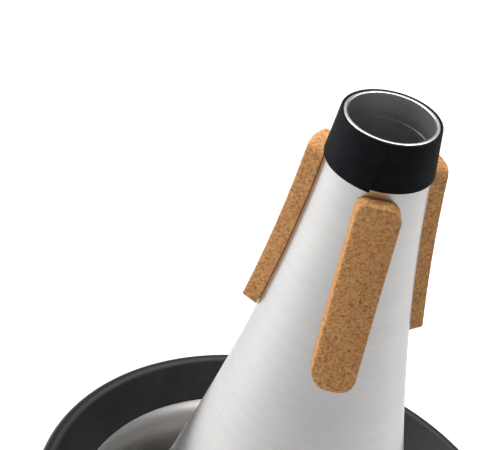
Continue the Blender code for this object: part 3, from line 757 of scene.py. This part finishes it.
class MUTE_PG_finish(bpy.types.PropertyGroup):
    aluminium: FloatVectorProperty(
        name="Aluminium", description="Bare spun metal", subtype="COLOR", default=(0.62, 0.61, 0.6), min=0, max=1
    )
    steel: FloatVectorProperty(
        name="Steel", description="Plated screw parts", subtype="COLOR", default=(0.66, 0.66, 0.67), min=0, max=1
    )
    brass: FloatVectorProperty(
        name="Brass", description="Insert of the knob", subtype="COLOR", default=(0.79, 0.58, 0.27), min=0, max=1
    )
    cork_light: FloatVectorProperty(
        name="Light Cork", description="Light granules", subtype="COLOR", default=(0.94, 0.48, 0.19), min=0, max=1
    )
    cork_dark: FloatVectorProperty(
        name="Dark Cork", description="Dark granules", subtype="COLOR", default=(0.6, 0.25, 0.09), min=0, max=1
    )
    flock: FloatVectorProperty(
        name="Flock", description="Neck band", subtype="COLOR", default=(0.006, 0.0065, 0.008), min=0, max=1
    )
    rubber: FloatVectorProperty(
        name="Rubber", description="Edging of the cup", subtype="COLOR", default=(0.012, 0.012, 0.013), min=0, max=1
    )
    plastic: FloatVectorProperty(
        name="Plastic", description="Knob", subtype="COLOR", default=(0.018, 0.018, 0.02), min=0, max=1
    )
    nylon: FloatVectorProperty(
        name="Nylon", description="Hub and thrust washer", subtype="COLOR", default=(0.74, 0.72, 0.66), min=0, max=1
    )


class MUTE_PG_stage(bpy.types.PropertyGroup):
    floor: FloatVectorProperty(
        name="Floor", description="Colour of the floor", subtype="COLOR", default=(0.92, 0.92, 0.92), min=0, max=1
    )
    room_light: FloatProperty(name="Room Light", description="Brightness of the room all round", default=0.22, min=0)
    left_light: FloatProperty(
        name="Left Light", description="Power of the light at the left, in watts", default=8.0, min=0
    )
    back_light: FloatProperty(
        name="Back Light", description="Power of the light behind, in watts", default=11.0, min=0
    )


# Operators


class MUTE_OT_cone(bpy.types.Operator):
    """Spins the cone with its cut rim, stepped bore and rolled seam, and the cap that closes it"""

    bl_idname = "mute.cone"
    bl_label = "Cone and End Cap"

    def execute(self, context):
        sizes = context.scene.mute_sizes
        length = CONE_TOP - CONE_BASE
        outer = flare_line(0, NECK_LENGTH, 6) + flare_line(NECK_LENGTH, length - SEAM_ROUND, 90)
        outer += arc((CONE_RADIUS - SEAM_ROUND, CONE_BASE + SEAM_ROUND), SEAM_ROUND, 0, -90, 12)
        outer.append((CONE_RADIUS - SEAM_ROUND - SEAM_LIP, CONE_BASE))
        outer = tidy(outer)
        bore = NECK_RADIUS - SHEET
        bore_end = CONE_TOP - NECK_BORE_LENGTH
        step = CONE_TOP - sizes.bore_step
        groove = 0.04 * MM
        inside = [p for p in offset(outer, -SHEET) if p[1] < bore_end - SHEET]
        below = flare_radius(NECK_BORE_LENGTH + SHEET) - SHEET
        edge = sizes.rim_round
        rim = arc((bore + edge, CONE_TOP - edge), edge, 180, 90, 4)
        rim += arc((NECK_RADIUS - edge, CONE_TOP - edge), edge, 90, 0, 4)
        neck = [(below, bore_end - SHEET), (bore, bore_end), (bore, step - groove), (bore + groove, step)]
        neck += [(bore, step + groove)]
        outline = tidy(rim + outer[1:] + inside[::-1] + neck)
        cone = turned("cone_spun", outline, finish("cone"), segments=sizes.segments)
        seat(cone, "cone", "spun_aluminium", "cone")
        cap = turned("end_cap_spun", self.cap_outline(), finish("cup"), segments=sizes.segments)
        seat(cap, "cone", "spun_aluminium", "end_cap")
        return {"FINISHED"}

    def cap_outline(self):
        """The end cap's section: upturned edge, flat rim, and the pocket for the spring."""
        flange = 5.0 * MM
        bend = 2.0 * MM
        pocket = 18.0 * MM
        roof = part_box("end_cap")[1].z - SHEET / 2
        edge = flare_radius(CONE_TOP - CONE_BASE - SEAM_ROUND) - SHEET - GAP - SHEET / 2
        floor = CAP_BOTTOM + SHEET / 2
        middle = [(edge - (bend + flange) * FLARE_SLOPE_BASE, floor + bend + flange)]
        middle += arc((edge - bend * 1.5, floor + bend), bend, 0, -90)
        middle += arc((pocket + bend, floor + bend), bend, -90, -180)
        middle += arc((pocket - bend, roof - bend), bend, 0, 90)
        middle.append((STEM_BORE, roof))
        return sheet_outline(middle, SHEET)


class MUTE_OT_neck_band(bpy.types.Operator):
    """Wraps the flock tape round the neck, with its overlapping end"""

    bl_idname = "mute.neck_band"
    bl_label = "Neck Band"

    lap_top = math.radians(5.8)
    lap_lean = math.radians(-7.2)
    lap_reach = math.radians(75)

    def execute(self, context):
        sizes = context.scene.mute_sizes
        height = CONE_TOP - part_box("neck_band")[0].z
        inner = [(r + SKIN_GAP, z) for r, z in flare_line(0, height, 6)]
        outer = [(r + sizes.tape_thickness, z) for r, z in inner]
        outline = softened([inner[0], inner[-1], outer[-1], outer[0]], 0.14 * MM)
        band = turned("neck_band_flock", outline, finish("flock"), segments=sizes.segments)
        bm = bmesh.new()
        bm.from_mesh(band.data)
        self.add_lap(bm, sizes, height)
        bm.to_mesh(band.data)
        bm.free()
        seat(band, "cone", "black_flock", "neck_band")
        return {"FINISHED"}

    def add_lap(self, bm, sizes, height):
        """The tape's outer end: a thin curved strip that leans, hangs a little low and ends in a cut edge."""
        columns, rows = 60, 14
        rise = 0.25 * MM
        base = SKIN_GAP + sizes.tape_thickness
        shells = []
        for lift in (base - 0.1 * MM, base + rise):
            grid = []
            for i in range(columns + 1):
                share = i / columns
                column = []
                for j in range(rows + 1):
                    down = j / rows
                    turn = self.lap_top + self.lap_lean * down - self.lap_reach * (1 - share)
                    depth = 0.15 * MM + down * (height - 0.3 * MM) + sizes.tape_drop * share**2
                    fade = min(1.0, share * 3)
                    radius = flare_radius(depth) + base + (lift - base) * fade - 0.06 * MM * (1 - fade)
                    angle = VIEW_SIDE + turn
                    place = (radius * math.cos(angle), radius * math.sin(angle), CONE_TOP - depth)
                    column.append(bm.verts.new(place))
                grid.append(column)
            shells.append(grid)
        low, top = shells
        for i in range(columns):
            for j in range(rows):
                bm.faces.new((top[i][j], top[i][j + 1], top[i + 1][j + 1], top[i + 1][j]))
                bm.faces.new((low[i][j], low[i + 1][j], low[i + 1][j + 1], low[i][j + 1]))
            bm.faces.new((low[i][0], top[i][0], top[i + 1][0], low[i + 1][0]))
            bm.faces.new((low[i][-1], low[i + 1][-1], top[i + 1][-1], top[i][-1]))
        for j in range(rows):
            bm.faces.new((low[-1][j], top[-1][j], top[-1][j + 1], low[-1][j + 1]))
            bm.faces.new((low[0][j], low[0][j + 1], top[0][j + 1], top[0][j]))


class MUTE_OT_corks(bpy.types.Operator):
    """Cuts the three cork strips and bends them onto the cone"""

    bl_idname = "mute.corks"
    bl_label = "Corks"

    # name, turn from the viewing side, depth of the top end, skew, corner rounds (top left, top right,
    # bottom left, bottom right) seen from outside
    strips = (
        ("cork_front", 10.4, 14.0 * MM, -1.3, (2.2, 4.2, 4.8, 3.2)),
        ("cork_left", -108.0, 12.9 * MM, 0.0, (1.8, 1.8, 1.2, 1.2)),
        ("cork_right", 126.0, 12.5 * MM, 0.0, (2.2, 2.2, 1.4, 1.4)),
    )
    rows = 110
    columns = 24

    def execute(self, context):
        sizes = context.scene.mute_sizes
        for name, turn, top, skew, corners in self.strips:
            bm = self.strip(sizes, math.radians(turn), top, math.radians(skew), [c * MM for c in corners])
            piece = piece_from(bm, f"{name}_strip", finish("cork"))
            seat(piece, "cone", "cork", name)
        return {"FINISHED"}

    def limits(self, along, sizes, corners, inset):
        """How far the strip reaches to either side at a distance from its top end."""
        length = sizes.cork_length
        half = sizes.cork_width / 2 - inset
        reach = []
        for top_round, bottom_round in ((corners[0], corners[2]), (corners[1], corners[3])):
            cut = 0.0
            for corner, distance in ((top_round, along), (bottom_round, length - along)):
                corner = max(corner - inset, 0.1 * MM)
                distance = distance - inset
                if distance < corner:
                    cut = corner - math.sqrt(max(0.0, corner**2 - (corner - distance) ** 2))
            reach.append(half - cut)
        return -reach[0], reach[1]

    def strip(self, sizes, turn, top, skew, corners):
        edge = 0.35 * MM
        layers = [(0.0, 0.0), (sizes.cork_thickness * 0.35, 0.0), (sizes.cork_thickness * 0.7, 0.0)]
        layers += [(sizes.cork_thickness - edge, 0.0), (sizes.cork_thickness - edge * 0.3, edge * 0.3)]
        layers.append((sizes.cork_thickness, edge))
        middle = top + sizes.cork_length / 2
        bm = bmesh.new()

        def bend(along, side, height):
            """Places a point of the flat strip on the cone."""
            depth = top + along
            slope = (flare_radius(depth + MM) - flare_radius(depth - MM)) / (2 * MM)
            lean = math.hypot(1, slope)
            radius = flare_radius(depth) + (SKIN_GAP + height) / lean
            z = CONE_TOP - depth + (SKIN_GAP + height) * slope / lean
            around = math.asin(side / radius) + (depth - middle) * math.tan(skew) / radius
            angle = VIEW_SIDE + turn + around
            return Vector((radius * math.cos(angle), radius * math.sin(angle), z))

        def grid(height, inset):
            made = []
            for i in range(self.rows + 1):
                share = (1 - math.cos(math.pi * i / self.rows)) / 2
                share = 0.35 * share + 0.65 * i / self.rows
                along = inset + share * (sizes.cork_length - 2 * inset)
                left, right = self.limits(along, sizes, corners, inset)
                row = []
                for j in range(self.columns + 1):
                    side = left + (right - left) * j / self.columns
                    spot = Vector((along, side, turn)) / (0.9 * MM)
                    rough = noise.noise(spot) * 0.05 * MM
                    ends = i in (0, self.rows) or j in (0, self.columns)
                    sag = abs(noise.noise(spot * 2.3)) * 0.10 * MM if ends else 0.0
                    inward = side - math.copysign(sag, side)
                    if height > 0:
                        row.append(bm.verts.new(bend(along, inward, height + rough - sag * 0.5)))
                    else:
                        row.append(bm.verts.new(bend(along, inward, height)))
                made.append(row)
            return made

        grids = [grid(height, inset) for height, inset in (layers[0], layers[-1])]
        low, high = grids
        for i in range(self.rows):
            for j in range(self.columns):
                bm.faces.new((high[i][j], high[i + 1][j], high[i + 1][j + 1], high[i][j + 1]))
                bm.faces.new((low[i][j], low[i][j + 1], low[i + 1][j + 1], low[i + 1][j]))

        def border(made):
            ring = [made[0][j] for j in range(self.columns)]
            ring += [made[i][-1] for i in range(self.rows)]
            ring += [made[-1][j] for j in range(self.columns, 0, -1)]
            ring += [made[i][0] for i in range(self.rows, 0, -1)]
            return ring

        def border_places(height, inset):
            places = []
            for i, j in self.border_steps():
                share = (1 - math.cos(math.pi * i / self.rows)) / 2
                share = 0.35 * share + 0.65 * i / self.rows
                along = inset + share * (sizes.cork_length - 2 * inset)
                left, right = self.limits(along, sizes, corners, inset)
                side = left + (right - left) * j / self.columns
                spot = Vector((along, side, height + turn * MM)) / (0.8 * MM)
                chip = abs(noise.noise(spot)) * 0.10 * MM
                along += math.copysign(chip, sizes.cork_length / 2 - along)
                places.append(bend(along, side - math.copysign(chip, side), height))
            return places

        rings = [border(low)]
        for height, inset in layers[1:-1]:
            rings.append([bm.verts.new(place) for place in border_places(height, inset)])
        rings.append(border(high))
        for lower, upper in zip(rings, rings[1:]):
            count = len(lower)
            for i in range(count):
                j = (i + 1) % count
                bm.faces.new((lower[i], lower[j], upper[j], upper[i]))
        return bm

    def border_steps(self):
        """Row and column of each point round the strip's border, in the order of its rings."""
        steps = [(0, j) for j in range(self.columns)]
        steps += [(i, self.columns) for i in range(self.rows)]
        steps += [(self.rows, j) for j in range(self.columns, 0, -1)]
        steps += [(i, 0) for i in range(self.rows, 0, -1)]
        return steps


class MUTE_OT_cup(bpy.types.Operator):
    """Spins the bowl of the cup and fits the rubber edging on its flange"""

    bl_idname = "mute.cup"
    bl_label = "Cup and Edging"

    slope = math.radians(42)
    flange = 10.0 * MM
    leg = 1.7 * MM
    shoulder = 8.0 * MM
    taper = 2.0 * MM
    waist = 38.0 * MM
    wall_radius = 50.0 * MM
    foot_round = 11.0 * MM
    recess_radius = 30.0 * MM
    recess_round = 4.5 * MM
    floor_rise = 12.8 * MM
    centre_hole = 9.3 * MM

    def execute(self, context):
        segments = context.scene.mute_sizes.segments
        half_edging = self.leg + GAP + CUP_SHEET / 2
        edge = (CUP_RADIUS - half_edging, CUP_TOP - half_edging)
        run = (-math.cos(self.slope), -math.sin(self.slope))
        end = (edge[0] + self.flange * run[0], edge[1] + self.flange * run[1])
        bowl = turned("cup_bowl_spun", self.bowl_outline(edge, end, run), finish("cup"), segments=segments)
        seat(bowl, "cup", "spun_aluminium", "cup_bowl")
        edging = self.edging_outline(edge, end, run, half_edging)
        ring = turned("cup_edging", edging, finish("rubber"), segments=segments)
        seat(ring, "cup", "black_rubber", "cup_rim_ring")
        return {"FINISHED"}

    def bowl_outline(self, edge, end, run):
        start = (end[0] + self.shoulder * run[0], end[1] + self.shoulder * run[1])
        half = CUP_SHEET / 2
        middle = [edge]
        middle += bezier(
            end, start, (self.wall_radius + self.taper, self.waist), (self.wall_radius, half + self.foot_round), 40
        )
        middle += arc((self.wall_radius - self.foot_round, half + self.foot_round), self.foot_round, 0, -90, 20)
        low_bend = (self.recess_radius + self.recess_round, half + self.recess_round)
        middle += arc(low_bend, self.recess_round, -90, -180, 12)
        floor = self.floor_rise + half
        middle += arc((self.recess_radius - self.recess_round, floor - self.recess_round), self.recess_round, 0, 90, 12)
        middle.append((self.centre_hole, floor))
        return sheet_outline(middle, CUP_SHEET)

    def edging_outline(self, edge, end, run, half_edging):
        """Section of the rubber edging: a round lip and two legs with a groove for the flange."""
        left = (run[1], -run[0])
        groove = CUP_SHEET / 2 + GAP
        degrees = math.degrees(self.slope)

        def beside(point, distance):
            return point[0] + distance * left[0], point[1] + distance * left[1]

        top = (edge[0] - GAP * run[0], edge[1] - GAP * run[1])
        legs = [
            beside(end, -half_edging),
            beside(end, -groove),
            beside(top, -groove),
            beside(top, groove),
            beside(end, groove),
            beside(end, half_edging),
        ]
        lip = arc(edge, half_edging, degrees + 90, degrees - 90, 24)
        closed = lip + legs
        soft = softened(closed, 0.45 * MM)
        return tidy(soft)


class MUTE_OT_hub(bpy.types.Operator):
    """Finishes the hub, its plate, its three rivets and the thrust washer"""

    bl_idname = "mute.hub"
    bl_label = "Hub and Rivets"

    circle = 13.0 * MM
    first_turn = math.pi / 6
    shank = 1.25 * MM
    head_radius = 2.1 * MM
    head = 0.9 * MM

    def execute(self, context):
        refinish("cup_hub", "nylon")
        refinish("thrust_washer", "nylon")
        refinish("hub_plate", "steel")
        low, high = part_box("hub_rivet_1")
        tail_top = low.z + self.head
        head_bottom = high.z - self.head
        outline = [(self.head_radius * x, low.z + self.head * (1 - z)) for x, z in arc((0, 0), 1, 90, 0)]
        outline += [(self.shank, tail_top), (self.shank, head_bottom)]
        outline += [(self.head_radius * x, head_bottom + self.head * z) for x, z in arc((0, 0), 1, 0, 90)]
        rivet = turned("rivet", outline, finish("steel"), closed=False, segments=28)
        mesh = rivet.data.copy()
        bpy.data.objects.remove(rivet)
        values = {"Count": 3, "Circle Radius": self.circle, "First Turn": self.first_turn, "Finish": finish("steel")}
        rivets = run_tree("hub_rivets", mesh, "ring", values)
        seat(rivets, "cup", "bright_steel", "hub_rivet_1", "hub_rivet_2", "hub_rivet_3")
        return {"FINISHED"}


class MUTE_OT_spring(bpy.types.Operator):
    """Winds the spring"""

    bl_idname = "mute.spring"
    bl_label = "Spring"

    wire = 1.2 * MM
    curls = 6.0

    def execute(self, context):
        low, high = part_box("spring")
        values = {
            "Curls": self.curls,
            "Coil Radius": high.x - self.wire / 2,
            "Height": high.z - low.z - self.wire,
            "Start": low.z + self.wire / 2,
            "Wire Radius": self.wire / 2,
            "Finish": finish("steel"),
        }
        guide = bpy.data.meshes.new("guide")
        spring = run_tree("spring_wound", guide, "coil", values)
        seat(spring, "cup", "bright_steel", "spring")
        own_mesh(spring)
        return {"FINISHED"}


class MUTE_OT_screw(bpy.types.Operator):
    """Cuts the threaded stem with its collar and flats, makes its nut and stop screw, and gives its washers the steel
    finish
    """

    bl_idname = "mute.screw"
    bl_label = "Adjusting Screw"

    shaft = 4.0 * MM
    flat = 3.3 * MM
    across_flats = 13.0 * MM
    depth = 0.55 * MM
    stop_hole = 1.8 * MM
    socket = 1.1 * MM

    def execute(self, context):
        pitch = context.scene.mute_sizes.thread_pitch
        refinish("stem_washer", "steel")
        collar_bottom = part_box("spring")[1].z + GAP
        collar_top = collar_bottom + 1.5 * MM
        step = pitch / 12
        shaft_low = [(self.shaft, z) for z in np.arange(STEM_BOTTOM + 0.8 * MM, collar_bottom - step, step)]
        shaft_high = [(self.shaft, z) for z in np.arange(collar_top + step, STEM_TOP - 0.7 * MM, step)]
        outline = [(0.0, STEM_BOTTOM + 8 * MM), (self.stop_hole, STEM_BOTTOM + 7 * MM), (self.stop_hole, STEM_BOTTOM)]
        outline += [(self.shaft - 0.8 * MM, STEM_BOTTOM)] + shaft_low + [(self.shaft - self.depth, collar_bottom)]
        outline += [(COLLAR_RADIUS - 0.2 * MM, collar_bottom), (COLLAR_RADIUS, collar_bottom + 0.2 * MM)]
        outline += [(COLLAR_RADIUS, collar_top - 0.2 * MM), (COLLAR_RADIUS - 0.2 * MM, collar_top)]
        outline += [(self.shaft - self.depth, collar_top)] + shaft_high
        outline += [(self.shaft - 0.6 * MM, STEM_TOP), (0.0, STEM_TOP)]
        rod = turned("rod", outline, finish("steel"), closed=False, segments=96)
        mesh = rod.data.copy()
        bpy.data.objects.remove(rod)
        values = {
            "Pitch": pitch,
            "Depth": self.depth,
            "Shaft Radius": self.shaft,
            "Flat": self.flat,
            "Collar Bottom": collar_bottom - GAP,
            "Finish": finish("steel"),
        }
        stem = run_tree("stem_threaded", mesh, "thread", values)
        seat(stem, "cone", "bright_steel", "stem")
        self.nut()
        self.stop()
        return {"FINISHED"}

    def nut(self):
        low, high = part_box("stem_nut")
        corner = self.across_flats / math.cos(math.pi / 6) / 2
        chamfer = 0.6 * MM
        outline = [
            (STEM_BORE, low.z),
            (corner - chamfer, low.z),
            (corner, low.z + chamfer / 2),
            (corner, high.z - chamfer / 2),
            (corner - chamfer, high.z),
            (STEM_BORE, high.z),
        ]
        nut = turned("stem_nut_hex", outline, finish("steel"), segments=120, sides=6, across_flats=self.across_flats)
        seat(nut, "cone", "bright_steel", "stem_nut")

    def stop(self):
        refinish("stop_washer", "steel")
        low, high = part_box("stop_screw")
        head_top = low.z + 1.5 * MM
        shank = 1.5 * MM
        depth = 0.8 * MM
        outline = [(0.0, low.z + depth), (self.socket, low.z + depth), (self.socket, low.z)]
        outline += arc((high.x - 0.6 * MM, low.z + 0.6 * MM), 0.6 * MM, -90, 0, 6)
        outline += [(high.x, head_top), (shank, head_top), (shank, high.z), (0.0, high.z)]
        screw = turned("stop_screw_turned", outline, finish("steel"), closed=False, segments=48)
        self.hexagon_socket(screw.data, depth, low.z)
        seat(screw, "cone", "bright_steel", "stop_screw")

    def hexagon_socket(self, mesh, depth, bottom):
        """Turns the round socket of the screw's head into a hexagon for the key."""
        for vertex in mesh.vertices:
            x, y, z = vertex.co
            radius = math.hypot(x, y)
            if self.socket * 0.9 < radius < self.socket * 1.1 and z < bottom + depth + 0.1 * MM:
                within = math.atan2(y, x) % (math.pi / 3) - math.pi / 6
                scale = self.socket / math.cos(within) / radius
                vertex.co.x = x * scale
                vertex.co.y = y * scale


class MUTE_OT_knob(bpy.types.Operator):
    """Moulds the fluted knob and turns its insert"""

    bl_idname = "mute.knob"
    bl_label = "Knob"

    edge = 1.2 * MM
    flute_depth = 0.8 * MM
    counterbore = 8.6 * MM
    seat_radius = 8.3 * MM
    insert_radius = 6.5 * MM
    flange = 1.2 * MM

    def execute(self, context):
        low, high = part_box("knob")
        insert_low, insert_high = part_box("knob_insert")
        rim = high.x
        web = insert_low.z - GAP
        shelf = insert_high.z - self.flange - GAP
        outline = [(self.insert_radius + GAP, shelf), (self.insert_radius + GAP, web), (self.counterbore, web)]
        outline += [(self.counterbore, low.z + 0.3 * MM), (self.counterbore + 0.3 * MM, low.z)]
        outline += [(rim - 4 * self.edge, low.z), (rim - 3 * self.edge, low.z)]
        outline += arc((rim - self.edge, low.z + self.edge), self.edge, -90, 0, 8)
        outline += [(rim, z) for z in np.linspace(low.z + self.edge, high.z - self.edge, 7)[1:-1]]
        outline += arc((rim - self.edge, high.z - self.edge), self.edge, 0, 90, 8)
        outline += [(rim - 3 * self.edge, high.z), (self.seat_radius, high.z), (self.seat_radius, shelf)]
        knob = turned(
            "knob_moulded",
            tidy(outline),
            finish("plastic"),
            segments=280,
            flutes=context.scene.mute_sizes.knob_flutes,
            flute_depth=self.flute_depth,
            flute_start=rim - 2.2 * self.edge,
        )
        seat(knob, "knob", "black_plastic", "knob")
        z = insert_high.z - self.flange
        top = insert_high.z
        insert = [(STEM_BORE, insert_low.z), (self.insert_radius, insert_low.z), (self.insert_radius, z)]
        insert += [(insert_high.x, z), (insert_high.x, top), (STEM_BORE, top)]
        piece = turned("knob_insert_turned", softened(insert, 0.2 * MM), finish("brass"))
        seat(piece, "knob", "brass", "knob_insert")
        return {"FINISHED"}


class MUTE_OT_stage(bpy.types.Operator):
    """Adds the floor, the lights and the camera at the photograph's viewing angle"""

    bl_idname = "mute.stage"
    bl_label = "Stage"

    camera_back = 349.98 * MM
    camera_rise = 200.21 * MM
    right = Vector((0.95902, 0.20347, 0.19718))
    down = Vector((0.27707, -0.52794, -0.80282))
    focal_pixels = 1800.0
    image_width = 500.0
    floor_size = 6.0

    def execute(self, context):
        stage = context.scene.mute_stage
        self.add_floor(stage)
        self.add_world(context.scene, stage)
        left_floor = Vector((-0.35, 0.05, 0))
        back_floor = Vector((0.05, 0.32, 0))
        self.add_light("left_light", Vector((-0.8, 0.1, 0.7)), left_floor, (0.7, 0.7), stage.left_light)
        self.add_light("back_light", Vector((0.1, 0.5, 1.0)), back_floor, (0.9, 0.5), stage.back_light)
        self.add_camera(context.scene)
        return {"FINISHED"}

    def add_floor(self, stage):
        bm = bmesh.new()
        bmesh.ops.create_grid(bm, x_segments=1, y_segments=1, size=self.floor_size / 2)
        bmesh.ops.translate(bm, vec=(0, 0, -0.05 * MM), verts=bm.verts)
        material, nodes, shader, place = new_material("floor", specular_ior_level=0.2)
        cloud = nodes.add("ShaderNodeTexNoise", {"Vector": place, "Scale": 3.0, "Detail": 2.0}).outputs[0]
        colour = tuple(stage.floor)
        darker = tuple(c * 0.985 for c in colour)
        nodes.feed(shader.inputs["Base Color"], nodes.ramp(cloud, [(0.2, darker), (0.8, colour)]))
        shader.inputs["Roughness"].default_value = 0.8
        floor = piece_from(bm, "floor", material)

    def add_world(self, scene, stage):
        world = bpy.data.worlds.new("room")
        world.use_nodes = True
        background = world.node_tree.nodes["Background"]
        background.inputs["Color"].default_value = (1.0, 1.0, 1.0, 1)
        background.inputs["Strength"].default_value = stage.room_light
        scene.world = world

    def add_light(self, name, place, target, size, power):
        light = bpy.data.lights.new(name, "AREA")
        light.shape = "RECTANGLE"
        light.size, light.size_y = size
        light.energy = power
        lamp = bpy.data.objects.new(name, light)
        lamp.location = place
        lamp.rotation_euler = (target - place).to_track_quat("-Z", "Y").to_euler()
        bpy.context.scene.collection.objects.link(lamp)

    def add_camera(self, scene):
        camera = bpy.data.cameras.new("camera")
        camera.sensor_width = 36.0
        camera.lens = self.focal_pixels * camera.sensor_width / self.image_width
        camera.clip_start = 0.01
        camera.dof.use_dof = False
        mount = bpy.data.objects.new("camera", camera)
        back = self.right.cross(-self.down)
        axes = Matrix((self.right, -self.down, back)).transposed().to_4x4()
        place = Vector((0.0, -self.camera_back, CONE_TOP + self.camera_rise))
        mount.matrix_world = Matrix.Translation(place) @ axes
        scene.collection.objects.link(mount)
        scene.camera = mount
        scene.view_settings.view_transform = "Standard"


class MUTE_PT_panel(bpy.types.Panel):
    """Settings and steps of the cup mute"""

    bl_idname = "MUTE_PT_panel"
    bl_label = "Cup Mute"
    bl_space_type = "VIEW_3D"
    bl_region_type = "UI"
    bl_category = "Cup Mute"

    def draw(self, context):
        layout = self.layout
        for group, label in (("mute_sizes", "Sizes"), ("mute_finish", "Finish"), ("mute_stage", "Stage")):
            box = layout.box()
            box.label(text=label)
            settings = getattr(context.scene, group)
            for name in settings.bl_rna.properties.keys():
                if name not in ("rna_type", "name"):
                    box.prop(settings, name)
        for step in STEPS:
            layout.operator(step.bl_idname)


STEPS = (
    MUTE_OT_stage,
    MUTE_OT_cone,
    MUTE_OT_neck_band,
    MUTE_OT_corks,
    MUTE_OT_cup,
    MUTE_OT_hub,
    MUTE_OT_spring,
    MUTE_OT_screw,
    MUTE_OT_knob,
)
GROUPS = {"mute_sizes": MUTE_PG_sizes, "mute_finish": MUTE_PG_finish, "mute_stage": MUTE_PG_stage}


def register():
    for group in GROUPS.values():
        bpy.utils.register_class(group)
    for name, group in GROUPS.items():
        setattr(bpy.types.Scene, name, PointerProperty(type=group))
    for step in STEPS:
        bpy.utils.register_class(step)
    bpy.utils.register_class(MUTE_PT_panel)


def unregister():
    bpy.utils.unregister_class(MUTE_PT_panel)
    for step in reversed(STEPS):
        bpy.utils.unregister_class(step)
    for name in GROUPS:
        delattr(bpy.types.Scene, name)
    for group in reversed(GROUPS.values()):
        bpy.utils.unregister_class(group)


def main():
    register()
    for step in STEPS:
        group, name = step.bl_idname.split(".")
        getattr(getattr(bpy.ops, group), name)()


if __name__ == "__main__":
    main()
